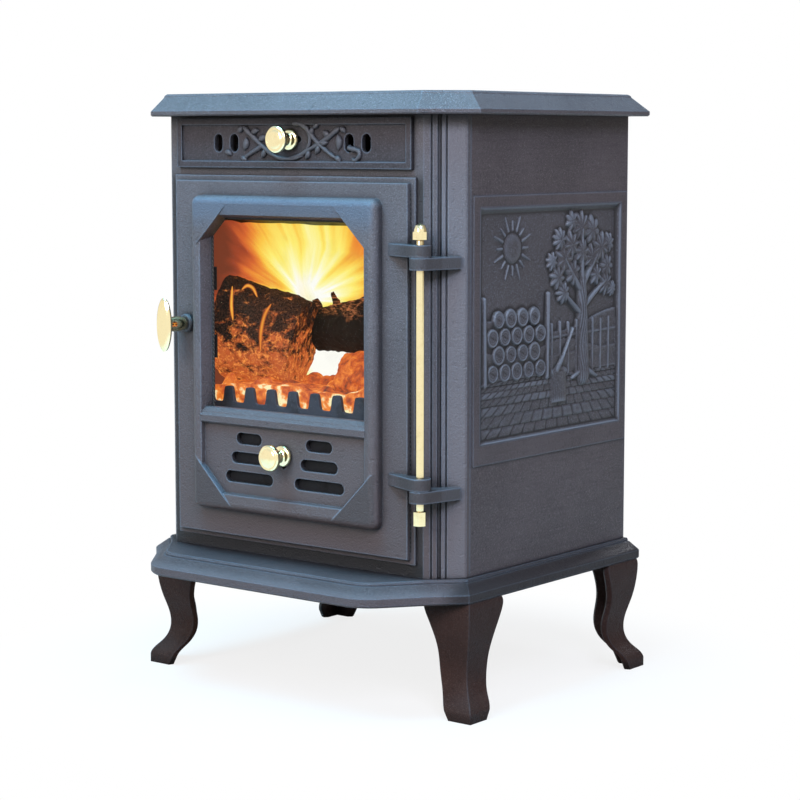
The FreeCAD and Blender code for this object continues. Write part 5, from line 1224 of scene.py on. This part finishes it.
@dataclass
class VentOrnament:
    """Leafy sprigs raised on the floor of the upper vent panel, one on each side of the knob."""

    floor: float = -150.5
    rise: float = 3.6
    strand: float = 3.1

    stems: tuple = (
        ("left_sprig", ((-62.7, 576.7), (-51.5, 568.3), (-41.6, 560.9), (-25.1, 549.8), (-11.9, 544.9),
                        (3.4, 544.5), (18.6, 547.8))),
        ("right_sprig", ((64.6, 575.3), (52.9, 567.3), (38.0, 559.2), (25.1, 553.5), (9.9, 546.9),
                         (-7.5, 543.6))),
        ("right_branch", ((19.8, 577.0), (28.4, 567.5), (40.1, 557.6), (49.6, 551.1), (60.0, 544.6))),
        ("left_twig", ((-36.0, 557.5), (-43.5, 553.6), (-51.8, 549.7), (-61.5, 544.4))),
        ("curl", ((74.0, 556.0), (80.1, 554.3), (87.4, 552.8), (89.5, 548.0), (84.2, 543.2), (79.5, 545.4))),
        ("loop", ((3.0, 579.0), (13.6, 578.6), (22.0, 574.3), (25.6, 568.7), (26.4, 563.5), (25.4, 558.2),
                  (21.8, 552.6))),
    )
    leaves: tuple = (
        ((-58.3, 566.0), (-61.2, 552.4), 4.2), ((61.4, 569.0), (62.3, 552.6), 4.2),
        ((-66.0, 545.6), (-57.0, 541.6), 3.2), ((57.0, 546.5), (66.0, 541.2), 3.2),
        ((-87.5, 551.5), (-78.0, 547.5), 3.4), ((31.0, 573.5), (38.5, 579.0), 3.0),
        ((-51.5, 569.0), (-40.5, 572.5), 3.4), ((-41.6, 561.5), (-30.5, 566.0), 3.6),
        ((-33.0, 555.0), (-37.5, 545.0), 3.4), ((-25.1, 550.5), (-15.0, 556.0), 3.4),
        ((52.9, 567.5), (43.0, 572.5), 3.4), ((38.0, 559.5), (33.0, 549.0), 3.4),
        ((25.1, 553.8), (20.5, 544.0), 3.2), ((27.4, 566.5), (31.5, 575.5), 3.2),
        ((40.1, 557.6), (49.5, 560.5), 3.2), ((-51.5, 568.3), (-58.5, 575.5), 3.2),
        ((64.6, 575.3), (71.5, 569.5), 3.2), ((-62.7, 576.7), (-70.0, 571.5), 3.2),
    )

    def build(self, finishes: Finishes) -> None:
        """Sweeps each stem and leaf on the panel's floor.

        Args:
            finishes: the materials.
        """
        pieces = [self.stem("vent_" + name, points) for name, points in self.stems]
        pieces += [self.leaf(f"vent_leaf_{number:02d}", *leaf) for number, leaf in enumerate(self.leaves)]
        for made in pieces:
            settle(made, finishes.sprig_paint, Body.STOVE, Slot.PAINT)

    def strip(self, name: str, flat: Array, half: Array, rise: Array) -> Piece:
        """A strand along (x, z) points on the floor; rise is a share of the ornament's own."""
        path = np.stack([flat[:, 0], np.full(len(flat), self.floor), flat[:, 1]], 1)
        return swept(name, path, half, self.rise * rise)

    def stem(self, name: str, points: Sequence[Point]) -> Piece:
        """A strand along a smooth curve, strand times (1 - 0.35 t) wide, with knots and round ends.

        Args:
            name: the object's name.
            points: the (x, z) points that the curve passes through.
        Returns:
            The new object.
        """
        t = np.linspace(0.0, 1.0, 60)
        ends = np.sqrt(np.clip(1 - (2 * np.abs(t - 0.5)) ** 12, 0.02, 1.0))
        knots = 1.0 + 0.12 * np.sin(t * 31.0)
        half = self.strand * (1 - 0.35 * t) * ends * knots
        return self.strip(name, smooth_path(points, 60), half, ends * (1 - 0.2 * t))

    def leaf(self, name: str, root: Point, tip: Point, half: float) -> Piece:
        """A pointed leaf, half times sin(pi t) to the 0.8 wide, bowed sideways by a tenth of its length.

        Args:
            name: the object's name.
            root: where it starts.
            tip: where it ends.
            half: half of its greatest width.
        Returns:
            The new object.
        """
        t = np.linspace(0.0, 1.0, 26)
        run = np.subtract(tip, root)
        swell = np.sin(math.pi * t)
        flat = root + t[:, None] * run + 0.1 * swell[:, None] * np.array([-run[1], run[0]])
        width = half * np.clip(swell, 0.03, 1.0) ** 0.8
        return self.strip(name, flat, width, np.clip(swell, 0.05, 1.0) ** 0.5)


@dataclass
class WoodlandRelief:
    """The cast picture in a side panel's field: sun, tree, firewood, fence, hills, block and cobbles."""

    front: float = -98.7
    rear: float = 152.0
    bottom: float = 267.0
    top: float = 498.0
    floor: float = 192.5
    limit: float = 5.0
    boost: float = 1.45
    pitch: float = 0.85
    seed: int = 11
    ground: float = 60.0
    sun_at: Span = (58.0, 190.0)
    block_at: Span = (139.0, 62.0)
    boughs: tuple = (
        ((184.0, 62.0), (163.0, 53.0), 5.0), ((186.0, 62.0), (208.0, 52.0), 5.0),
        ((181.0, 140.0), (148.0, 176.0), 4.6), ((181.0, 146.0), (212.0, 184.0), 4.6),
        ((181.0, 142.0), (180.0, 205.0), 4.8), ((182.0, 124.0), (222.0, 150.0), 3.8),
        ((180.0, 118.0), (146.0, 142.0), 3.6),
    )
    crown: tuple = (
        (148, 176, 15), (136, 158, 12), (146, 142, 11), (164, 162, 13), (160, 190, 14), (178, 208, 15),
        (198, 204, 14), (214, 186, 15), (198, 176, 14), (180, 182, 13), (226, 166, 12), (224, 148, 12),
        (206, 158, 11), (230, 190, 10), (140, 196, 11), (162, 214, 10), (126, 174, 9), (236, 142, 8),
    )

    def __post_init__(self) -> None:
        """Lays out the grid: u runs from front to rear and v upwards, in millimetres."""
        self.long = self.rear - self.front
        self.tall = self.top - self.bottom
        self.u = np.linspace(0.0, self.long, int(self.long / self.pitch))
        self.v = np.linspace(0.0, self.tall, int(self.tall / self.pitch))
        self.uu, self.vv = np.meshgrid(self.u, self.v)
        self.rim = np.minimum.reduce([self.uu, self.long - self.uu, self.vv, self.tall - self.vv])
        self.rng = np.random.default_rng(self.seed)

    def build(self, finishes: Finishes) -> None:
        """Makes the picture once and sets it in both panels.

        Args:
            finishes: the materials.
        """
        height = self.picture()
        # convexity: low in hollows, which get painted shade, high on crests, which get paint wear and a
        # painted highlight
        rubbed_and_shaded = np.clip(0.5 + (height - blurred(height, 4.0)) / 1.7, 0.0, 1.0)
        for side in Side:
            name = side.name.lower() + "_side_relief"
            made = height_slab(name, self.v, self.u, height, -0.4, partial(self.placed, side), rubbed_and_shaded)
            settle(made, finishes.relief_paint, Body.STOVE, Slot.PAINT)

    def placed(self, side: Side, v: Array, u: Array, high: Array) -> Array:
        """The points of the panel at that side."""
        return np.stack([side.value * (self.floor + high), self.front + u, self.bottom + v], -1)

    def rod(self, a: Point, b: Point, wide: float, narrow: float, high: float) -> Array:
        """A rounded bar from a to b: high times a round arch over distance / half width.

        Args:
            a: where it starts.
            b: where it ends.
            wide: half width at the start.
            narrow: half width at the end.
            high: the height of its crest.
        Returns:
            The height at each place.
        """
        u, v = self.uu - a[0], self.vv - a[1]
        du, dv = b[0] - a[0], b[1] - a[1]
        t = np.clip((u * du + v * dv) / (du * du + dv * dv), 0.0, 1.0)
        return high * arched(np.hypot(u - t * du, v - t * dv) / (wide + (narrow - wide) * t))

    def dome(self, centre: Point, radius: float, high: float, lobes: int = 0, depth: float = 0.0,
             turn: float = 0.0) -> Array:
        """A dome whose rim waves by depth times the cosine of lobes times the angle, ribbed alike.

        Args:
            centre: its middle.
            radius: the rim's mean radius.
            high: the height of its top.
            lobes: the number of waves in the rim.
            depth: their share of the radius.
            turn: the angle that shifts them.
        Returns:
            The height at each place.
        """
        u, v = self.uu - centre[0], self.vv - centre[1]
        wave = np.cos(lobes * np.arctan2(v, u) + turn)
        near = np.hypot(u, v) / (radius * (1 + depth * wave))
        ribs = 1.0 - 0.10 * depth / 0.16 * (0.5 - 0.5 * wave) if lobes else 1.0
        return high * np.clip(1 - near**2.6, 0.0, 1.0) ** 0.5 * ribs

    def cobbles(self) -> Array:
        """Paving in rows that widen towards the bottom; each stone is a dome over its cell.

        Returns:
            The height at each place.
        """
        depth = np.clip((self.ground - self.vv) / self.ground, 0.0, 1.0)
        lane = 7.0 * np.log1p(3.0 * depth) / math.log(4.0)
        row = np.floor(lane)
        across = (self.uu - 0.55 * self.long) / (0.55 + 0.75 * depth) / 17.0 + 0.5 * (row % 2)
        column = np.floor(across)
        du, dv = (np.abs(cell - 0.5) * 2 for cell in (across - column, lane - row))
        stone = np.clip(1 - du**6, 0, 1) * np.clip(1 - dv**6, 0, 1)
        tilt = 0.25 * np.sin(12.9 * column + 78.2 * row)
        return np.where(self.vv < self.ground, (1.15 + tilt) * stone**0.5, 0.0)

    def hills(self) -> Array:
        """Two rolling hills; the near one has furrows that follow its crest.

        Returns:
            The height at each place.
        """
        far = 112.0 + 9.0 * np.sin(self.uu / 34.0 + 0.6)
        near = 88.0 + 7.0 * np.sin(self.uu / 27.0 + 2.4)
        furrow = 0.22 * np.cos((near - self.vv) / 3.4)
        land = self.vv >= self.ground
        back = np.where((self.vv < far) & land, 0.7 + 0.004 * (self.vv - self.ground), 0.0)
        return highest(back, np.where((self.vv < near) & land, 1.2 + furrow, 0.0))

    def sun(self) -> Array:
        """A disc and sixteen tapering rays, short and long in turn.

        Returns:
            The height at each place.
        """
        parts = [self.dome(self.sun_at, 15.0, 1.7)]
        for angle, reach in zip(circle(16), (27.0, 33.0) * 8):
            way = np.array([math.cos(angle), math.sin(angle)])
            parts.append(self.rod(self.sun_at + 18.5 * way, self.sun_at + reach * way, 1.7, 0.8, 1.1))
        return highest(*parts)

    def firewood(self) -> Array:
        """Split rounds stacked between two stakes, each with growth rings, a crack and a bark rim.

        Returns:
            The height at each place.
        """
        parts = [self.rod((foot, 58.0), (tip, 142.0), 3.2, 2.6, 2.7)
                 for foot, tip in ((10.5, 9.0), (117.5, 119.5))]
        for row in range(4):
            for place in range(5 - row % 2):
                u = self.uu - (23.0 + 20.5 * place + 10.2 * (row % 2))
                v = self.vv - (68.0 + 17.6 * row)
                near = np.hypot(u, v)
                size = 9.6 + 0.7 * self.rng.uniform(-1, 1)
                face = 2.0 + 0.22 * np.cos(near * TURN / 2.5) + 0.5 * bell(near, size - 1.2, 1.0)
                crack = 0.4 * bell(u * 0.4 + v * 0.9, 0.0, 0.8) * (near < size * 0.6)
                bark = np.clip((size - near) / 1.2, 0.0, 1.0) ** 0.5
                parts.append(np.where(near < size, (face - crack) * bark, 0.0))
        return highest(*parts)

    def tree(self) -> Array:
        """A gnarled trunk with ribbed bark, boughs and lobed clusters of leaves.

        Returns:
            The height at each place.
        """
        trunk = self.rod((184.0, 56.0), (181.0, 150.0), 12.5, 8.0, 3.0)
        parts = [trunk * (1 - 0.10 * np.cos((self.uu + 3.0 * np.sin(self.vv / 11.0)) * 1.7))]
        parts += [self.rod(a, b, wide, 2.0, 2.6) for a, b, wide in self.boughs]
        for number, (u, v, r) in enumerate(self.crown):
            high = 2.3 + 0.5 * ((number * 7) % 5) / 5
            leaf = self.dome((u, v), r, high, 7 + number % 3, 0.16, 1.3 * number)
            angle = np.arctan2(self.vv - v, self.uu - u)
            veins = 0.16 * np.cos(angle * (14 + 2 * (number % 3)) + number)
            parts.append(leaf + np.where(leaf > 0.6, veins, 0.0))
        return highest(*parts)

    def fence(self) -> Array:
        """Pales and two rails behind the stack and the tree.

        Returns:
            The height at each place.
        """
        parts = [self.rod((118.0, left), (250.0, right), 1.9, 1.9, 1.5)
                 for left, right in ((78.0, 82.0), (97.0, 100.0))]
        for place in range(9):
            foot = 126.0 + 15.0 * place
            tip = (foot + 0.6, 110.0 + 1.5 * (place % 2))
            parts.append(self.rod((foot, self.ground), tip, 2.7, 2.2, 1.8))
        return highest(*parts)

    def block(self) -> Array:
        """A chopping block with an axe struck into it.

        Returns:
            The height at each place.
        """
        u, v = self.uu - self.block_at[0], self.vv - self.block_at[1]
        inside = (np.abs(u) < 14.0 + (self.ground - self.vv) * 0.05) & (self.vv > 30.0) & (v < 0.0)
        side = np.where(inside, 2.4 * arched(u / 15.5) * (1 - 0.06 * np.cos(self.uu * 1.9)), 0.0)
        top = arched(np.hypot(u / 14.0, v / 5.0))
        face = np.where(top > 0, 2.1 + 0.15 * np.cos(top * 16.0), 0.0)
        haft = self.rod((141.0, 70.0), (163.0, 104.0), 1.8, 1.5, 3.2)
        head = self.rod((134.5, 63.5), (144.5, 75.5), 4.6, 3.6, 3.0)
        return highest(side, face, haft, head)

    def bead(self) -> Array:
        """A slope round the field, from almost flush with the border down to the floor, and a step."""
        return 3.7 * np.clip(1.0 - self.rim / 4.6, 0.0, 1.0) + 0.7 * (self.rim < 5.6)

    def picture(self) -> Array:
        """The highest of all motifs at each place, a little rough from casting, fading out at the rim.

        Returns:
            The height at each place.
        """
        high = highest(self.cobbles(), self.hills(), self.sun(), self.fence(), self.firewood(), self.tree(),
                       self.block())
        grid = np.stack([self.uu, self.vv, np.zeros_like(self.uu)], -1)
        high = self.boost * high + 0.12 * lattice_noise(grid, 5.0, self.seed, 3)
        high = high * np.clip((self.rim - 3.5) / 2.0, 0.0, 1.0)
        return np.clip(highest(high, self.bead()), 0.02, self.limit)


@dataclass
class BurningLog:
    """One log: a rough round bar with bark plates and blunt, uneven ends."""

    name: str
    start: Place
    end: Place
    radius: float
    end_radius: float
    seed: int
    end_flat: float = 1.0
    along: int = 110
    around: int = 150

    def build(self) -> Piece:
        """Rings round the line from start to end, pushed out by slow noise and by ridged bark plates.

        The rings are circles at the start and are flattened sideways towards the end.

        Returns:
            The new object.
        """
        a, b = np.array(self.start), np.array(self.end)
        length = np.linalg.norm(b - a)
        way = (b - a) / length
        side = np.cross(way, (0.0, 0.0, 1.0))
        side /= np.linalg.norm(side)
        up = np.cross(side, way)
        caps = np.array([0.04, 0.2, 0.38, 0.55, 0.7, 0.82, 0.91, 0.97])
        t = np.concatenate([np.zeros(8), np.linspace(0.0, 1.0, self.along), np.ones(8)])
        shrink = np.concatenate([caps, np.ones(self.along), caps[::-1]])
        thick = (self.radius + (self.end_radius - self.radius) * t) * shrink
        angle = circle(self.around)
        flat = (1.0 + (self.end_flat - 1.0) * t)[:, None, None]
        spoke = flat * np.cos(angle)[:, None] * side + np.sin(angle)[:, None] * up
        raw = (a + t[:, None] * (b - a))[:, None, :] + thick[:, None, None] * spoke
        slow = lattice_noise(raw, 55.0, self.seed, 2)
        local = np.stack(np.broadcast_arrays(0.45 * length * t[:, None], np.cos(angle) * self.radius,
                                             np.sin(angle) * self.radius), -1)
        plates = np.clip(1.0 - 2.6 * np.abs(lattice_noise(local, 13.0, self.seed + 1, 3)), -0.6, 1.0)
        fine = lattice_noise(raw, 5.0, self.seed + 2, 2)
        push = (0.13 * self.radius * slow + 2.6 * plates + fine) * shrink[:, None]
        sawn = (shrink < 1.0)[:, None] * (2.4 * lattice_noise(raw, 7.0, self.seed + 4, 3))
        rings = raw + push[..., None] * spoke + sawn[..., None] * way
        return skin(self.name, rings)


@dataclass
class Fire:
    """Logs, coals and flames in the firebox; they ride on the stove."""

    heart: Place = (-150.0, 46.0, 386.0)
    across: Place = (0.787, 0.617, 0.0)
    upward: Place = (-0.072, 0.092, 0.993)
    half_width: float = 152.0
    front: float = -112.0
    rear: float = 122.0
    floor: float = 271.0
    baffle_front: float = -76.0
    baffle_low: float = 430.0
    baffle_rise: float = 52.0
    baffle_rear: float = 145.5
    baffle_gap: float = 4.0
    toward_eye: Place = (0.617, -0.787, 0.0)
    eye_lift: float = 0.1
    logs: tuple = (
        ("bark", ("near_log", (-74.0, -46.0, 345.0), (-163.0, -80.0, 366.0), 44.0, 55.0, 3, 0.62)),
        ("black_bark", ("far_log", (-88.0, 2.0, 359.0), (104.0, -68.0, 383.0), 20.0, 37.0, 8)),
        ("black_bark",
         ("far_twig_0", (-78.0, -8.0, 372.0), (-86.0, -12.0, 393.0), 3.2, 1.4, 31, 1.0, 20, 16)),
        ("black_bark",
         ("far_twig_1", (-48.0, -17.0, 380.0), (-53.0, -22.0, 402.0), 3.4, 1.4, 32, 1.0, 20, 16)),
        ("coals", ("low_log", (124.0, -70.0, 318.0), (6.0, -60.0, 315.0), 30.0, 28.0, 21)),
    )
    tongues: tuple = (
        ((-40.0, 64.0, 345.0), 84.0, 30.0, -8.0), ((10.0, 72.0, 348.0), 76.0, 28.0, 10.0),
        ((-100.0, 0.0, 350.0), 92.0, 26.0, -14.0), ((60.0, 62.0, 346.0), 82.0, 30.0, 8.0),
        ((-126.0, -30.0, 356.0), 80.0, 16.0, -6.0), ((106.0, 44.0, 344.0), 86.0, 26.0, 4.0),
        ((-70.0, 34.0, 345.0), 88.0, 28.0, 6.0),
    )
    licks: tuple = (
        (((-104.0, -123.5, 376.0), (-106.0, -123.5, 392.0), (-104.5, -123.5, 412.0)), 2.9, 0.54),
        (((-83.5, -104.0, 343.0), (-82.5, -104.0, 364.0), (-77.0, -104.0, 382.0), (-68.0, -104.0, 394.0)),
         3.6, 0.60),
        (((-120.0, -92.0, 406.0), (-112.0, -92.0, 410.5), (-104.0, -92.0, 408.0), (-98.0, -92.0, 399.0)),
         3.2, 0.56),
        (((-84.0, 14.0, 300.0), (-84.0, 14.0, 330.0), (-84.0, 14.0, 362.0)), 58.0, 0.02),
    )

    def build(self, finishes: Finishes) -> None:
        """Makes every piece of the fire.

        Args:
            finishes: the materials.
        """
        pieces = [(BurningLog(*log).build(), getattr(finishes, finish)) for finish, log in self.logs]
        pieces += [(self.coals(), finishes.coals), (self.curtain(), finishes.flame),
                   (self.ceiling(), finishes.flame)]
        for make, name, finish, shapes in ((self.tongue, "flame_tongue", finishes.tongue, self.tongues),
                                           (self.lick, "flame_lick", finishes.lick, self.licks)):
            pieces += [(make(f"{name}_{number}", *shape), finish) for number, shape in enumerate(shapes)]
        for made, finish in pieces:
            settle(made, finish, Body.STOVE, Slot.BRICK)

    def roof(self, y: Array) -> Array:
        """The highest place for flame at each y: just under the sloping baffle, and level before it."""
        slope = (self.baffle_rear - y) / (self.baffle_rear - self.baffle_front)
        return self.baffle_low + self.baffle_rise * np.clip(slope, 0.0, 1.0) - self.baffle_gap

    def flow(self, points: Array, rise: float = 1.0) -> Array:
        """Angle and distance from the fire's heart, seen square on from the right front.

        The distance is divided by the flame's reach, which is longest upwards and shortest downwards:
        66 + 46 cos(angle - 1.65) millimetres, with a dip of 33 at the upper left and a second lobe of 75
        at the lower right, both bell-shaped over the angle. Away from the heart, to the right, the map
        goes over to plain flames that rise: distance is the height, with wavy crests.

        Args:
            points: places in millimetres, any number of rows.
            rise: how far the map goes over to rising flames, 0 to 1.
        Returns:
            The two map values for each place.
        """
        from_heart = points - np.array(self.heart)
        right = from_heart @ np.array(self.across)
        up = from_heart @ np.array(self.upward)
        angle = np.arctan2(up, right)
        reach = 66.0 + 46.0 * np.cos(angle - 1.65)
        reach = reach - 33.0 * bell(angle, 2.65, 0.45) + 75.0 * bell(angle, -1.1, 0.6)
        near = np.stack([angle / TURN * 6.0, np.hypot(right, up) / reach], -1)
        along, high = points[..., 0] - 0.7 * points[..., 1], points[..., 2]
        crest = 0.17 * np.sin(along / 15.0) + 0.11 * np.sin(along / 6.1 + 1.0)
        rising = np.stack([along / 60.0, np.minimum(0.22 + (high - 330.0) / 105.0 + crest, 0.95)], -1)
        share = rise * np.clip((points[..., 0] + 108.0) / 50.0, 0.0, 1.0)[..., None]
        return (1.0 - share) * near + share * rising

    def coals(self) -> Piece:
        """A bed of coals: the highest of many random domes over a slow swell, higher at the right.

        Returns:
            The new object.
        """
        x = np.linspace(-self.half_width, self.half_width, 200)
        y = np.linspace(self.front, self.rear, 150)
        yy, xx = np.meshgrid(y, x, indexing="ij")
        swell = 4.0 * np.sin(xx / 41.0) * np.cos(yy / 33.0)
        high = 35.0 + swell + 8.0 * np.clip((xx + 20.0) / 120.0, 0.0, 1.0)
        rng = np.random.default_rng(5)
        draws = (rng.uniform(low, top, 170) for low, top in ((-150, 150), (-110, 120), (8, 18), (8, 20)))
        for cx, cy, r, h in zip(*draws):
            high = np.maximum(high, 26.0 + h * arched(np.hypot(xx - cx, yy - cy) / r))
        grid = np.stack([xx, yy, np.zeros_like(xx)], -1)
        high = high + 2.0 * lattice_noise(grid, 9.0, 6, 3)
        return height_slab("coal_bed", y, x, self.floor + np.clip(high, 1.0, 52.0), self.floor,
                           lambda a, b, h: np.stack([b, a, h], -1))

    def curtain(self) -> Piece:
        """Flame along the lining: a U in plan, carried up to the roof, rippled by noise.

        Returns:
            The new object.
        """
        half = self.half_width
        corners = ((-half, self.front), (-half, self.rear), (half, self.rear), (half, self.front))
        line = resampled(eased(corners, 60.0, 4), 240)
        t = np.linspace(0.0, 1.0, 70)
        top = self.roof(line[:, 1])
        z = self.floor + t[:, None] * (top - self.floor)[None]
        grid = np.stack([*(np.broadcast_to(part, z.shape) for part in line.T), z], -1)
        inward = -grid[..., :2] / np.linalg.norm(grid[..., :2], axis=-1, keepdims=True)
        grid[..., :2] += inward * (2.5 + 2.5 * lattice_noise(grid, 30.0, 9, 2))[..., None]
        return sheet("flame_curtain", grid, self.flow(grid))

    def ceiling(self) -> Piece:
        """Flame rolling along under the baffle.

        Returns:
            The new object.
        """
        x = np.linspace(-self.half_width, self.half_width, 120)
        y = np.linspace(self.baffle_front, self.rear, 90)
        yy, xx = np.meshgrid(y, x, indexing="ij")
        grid = np.stack([xx, yy, self.roof(yy)], -1)
        grid[..., 2] -= 2.0 + 2.0 * lattice_noise(grid, 30.0, 12, 2)
        return sheet("flame_ceiling", grid, self.flow(grid, 0.0))

    def tongue(self, name: str, base: Point, high: float, half: float, lean: float) -> Piece:
        """A blade of flame, 1.5 half times t to the 0.3 times (1 - t) to the 0.7 wide, that sways.

        Args:
            name: the object's name.
            base: where it stands.
            high: its height.
            half: about half its width.
            lean: how far its tip leans to the right.
        Returns:
            The new object.
        """
        t = np.linspace(0.0, 1.0, 44)[:, None]
        u = np.linspace(-1.0, 1.0, 21)[None]
        wide = half * 1.5 * np.clip(t, 0.02, 1) ** 0.3 * np.clip(1 - t, 0.005, 1) ** 0.7
        sway = lean * t**1.5 + 3.0 * np.sin(6.0 * t + base[0])
        right = (u * wide + sway)[..., None] * np.array(self.across)
        deep = (4.0 * (1 - u**2) * np.sin(3.0 * t))[..., None] * np.array(self.toward_eye)
        rise = (t * high * np.ones_like(u))[..., None] * np.array([0.0, 0.0, 1.0])
        grid = np.array(base) + right + deep + rise
        far = 0.15 + 0.60 * t + 0.75 * u**2
        return sheet(name, grid, np.stack([u * np.ones_like(t) * 0.25 + base[0] * 0.01, far], -1))

    def lick(self, name: str, points: Sequence[Point], half: float, heat: float) -> Piece:
        """A thin lick of flame: a ribbon along a smooth curve, half times sin(pi t) to the 0.5 wide.

        Args:
            name: the object's name.
            points: the points that the curve passes through.
            half: half of the ribbon's greatest width.
            heat: the distance from the heart that its middle's colour stands for.
        Returns:
            The new object.
        """
        path = smooth_path(points, 40)
        run = np.gradient(path, axis=0)
        across = np.cross(run, (*self.toward_eye[:2], self.eye_lift))
        across /= np.linalg.norm(across, axis=1, keepdims=True)
        t = np.linspace(0.0, 1.0, 40)
        u = np.linspace(-1.0, 1.0, 11)
        wide = half * np.clip(np.sin(math.pi * t), 0.02, 1.0) ** 0.5
        grid = path[:, None, :] + (wide[:, None] * u)[..., None] * across[:, None, :]
        far = np.broadcast_to(heat + 0.50 * u**2, grid.shape[:2])
        return sheet(name, grid, np.stack([np.broadcast_to(0.3 * t[:, None], far.shape), far], -1))


@dataclass
class Studio:
    """Floor, daylight, lamps and the camera at the picture's angle."""

    eye: Place = (1.4540, -1.8284, 0.5639)
    pitch: float = 90.0 - 6.717
    turn: float = 38.10
    lens: float = 99.7
    floor_tone: Colour = (0.84, 0.82, 0.80)
    floor_bounce: Colour = (0.17, 0.11, 0.085)
    mirrored_rear: Colour = (0.34, 0.30, 0.26)
    glow_low: Colour = (0.085, 0.080, 0.076)
    glow_high: Colour = (0.11, 0.13, 0.15)
    lamps: tuple = (
        ("front_lamp", (0.2, -2.8, 1.5), 1.3, 58.0, (0.84, 0.80, 0.77)),
        ("top_lamp", (-0.2, -0.9, 2.8), 1.5, 142.0, (0.21, 0.68, 1.0)),
        ("right_lamp", (2.0, -1.7, 2.1), 1.1, 68.0, (0.69, 0.77, 1.0)),
        ("side_lamp", (1.2, 0.1, 2.7), 0.8, 18.0, (0.80, 0.90, 1.0)),
        ("rear_lamp", (-0.6, 2.8, 0.65), 1.1, 40.0, (0.85, 0.90, 1.0)),
    )

    def build(self) -> None:
        """Sets the whole stage."""
        scene = bpy.context.scene
        scene.view_settings.view_transform = "Standard"
        self.camera(scene)
        self.world(scene)
        self.floor()
        for lamp in self.lamps:
            self.lamp(*lamp)

    def camera(self, scene: bpy.types.Scene) -> None:
        """The camera of the picture.

        Args:
            scene: the scene that gets it.
        """
        data = bpy.data.cameras.new("camera")
        data.lens = self.lens
        data.sensor_width = 36.0
        eye = bpy.data.objects.new("camera", data)
        eye.location = self.eye
        eye.rotation_euler = (math.radians(self.pitch), 0.0, math.radians(self.turn))
        scene.collection.objects.link(eye)
        scene.camera = eye

    @staticmethod
    def seen(s: Shader) -> Val:
        """1 for rays that show the background: camera, mirror and glass rays.

        Args:
            s: the shader.
        Returns:
            The mask.
        """
        direct, mirror, through = (s.node("ShaderNodeLightPath", output=f"Is {kind} Ray")
                                   for kind in ("Camera", "Glossy", "Transmission"))
        return (direct + mirror + through).clipped()

    def world(self, scene: bpy.types.Scene) -> None:
        """White round the horizon and pale blue overhead; softer as a light than as a background.

        What the metal mirrors is darker behind the stove than in front of it.

        Args:
            scene: the scene that gets it.
        """
        world = bpy.data.worlds.new("daylight")
        world.use_nodes = True
        scene.world = world
        s = Shader(world.node_tree)
        way = s.node("ShaderNodeTexCoord", output="Generated")
        up = s.part(way, "Z")
        mirror = s.node("ShaderNodeLightPath", output="Is Glossy Ray")
        sky = s.mix(up.step(0.25, 0.95), (1.0, 1.0, 1.0), (0.45, 0.70, 1.0))
        sky = s.mix(s.part(way, "Y").step(-0.05, 0.6) * mirror, sky, self.mirrored_rear)
        glow = s.mix(up.step(-0.2, 0.9), self.glow_low, self.glow_high)
        tone = s.mix(self.seen(s), glow, sky)
        shade = s.node("ShaderNodeBackground", {}, {"Color": tone, "Strength": 1.0})
        s.node("ShaderNodeOutputWorld", {}, {"Surface": shade})

    def floor(self) -> None:
        """A pale disc that goes over to plain white away from the stove; near it the shadow shows."""
        ring = circle(96)
        radius = np.array([0.02, 300.0, 600.0, 1200.0, 6000.0])[:, None]
        grid = np.stack([radius * np.cos(ring), radius * np.sin(ring), np.full((5, 96), -0.4)], -1)
        here = np.arange(5 * 96).reshape(5, 96)
        there = np.roll(here, -1, axis=1)
        quads = np.stack([here[:-1], here[1:], there[1:], there[:-1]], -1).reshape(-1, 4).tolist()
        made = put_mesh("floor", grid.reshape(-1, 3), quads + [here[0].tolist()])
        material, s = new_finish("floor_paper")
        far = s.node("ShaderNodeVectorMath", {"operation": "LENGTH"},
                     {0: s.node("ShaderNodeTexCoord", output="Object")}, output="Value")
        tone = s.mix(self.seen(s), self.floor_bounce, self.floor_tone)
        plain = s.node("ShaderNodeBsdfDiffuse", {}, {"Color": tone})
        white = s.node("ShaderNodeEmission", {}, {"Color": (1.0, 1.0, 1.0), "Strength": 1.0})
        mirror = s.node("ShaderNodeLightPath", output="Is Glossy Ray")
        share = self.seen(s) * (0.82 + 0.18 * far.step(0.24, 0.46)) - mirror * (0.62 * far.fade(0.4, 2.0))
        both = s.node("ShaderNodeMixShader", {}, {0: share, 1: plain, 2: white})
        s.node("ShaderNodeOutputMaterial", {}, {"Surface": both})
        made.data.materials.append(material)

    @staticmethod
    def lamp(name: str, place: Point, size: float, power: float, tint: Colour) -> None:
        """A soft square lamp aimed at the middle of the stove.

        Args:
            name: the object's name.
            place: where it hangs, in metres.
            size: the side of the square, in metres.
            power: its watts.
            tint: its colour.
        """
        data = bpy.data.lights.new(name, "AREA")
        data.size = size
        data.energy = power
        data.color = tint
        lamp = bpy.data.objects.new(name, data)
        lamp.location = place
        aim = Vector((0.0, 0.0, 0.32)) - Vector(place)
        lamp.rotation_euler = aim.to_track_quat("-Z", "Y").to_euler()
        bpy.context.scene.collection.objects.link(lamp)


def main() -> None:
    """Builds the stove's looks in order and logs each assembly."""
    logging.basicConfig(level=logging.INFO, format="%(name)s: %(message)s")
    finishes = Finishes()
    Studio().build()
    for assembly in (Casing(), Firebox(), BrassWork(), VentOrnament(), WoodlandRelief(), Fire()):
        assembly.build(finishes)
        LOG.info("built %s", type(assembly).__name__)
    bpy.context.view_layer.update()


if __name__ == "__main__":
    main()
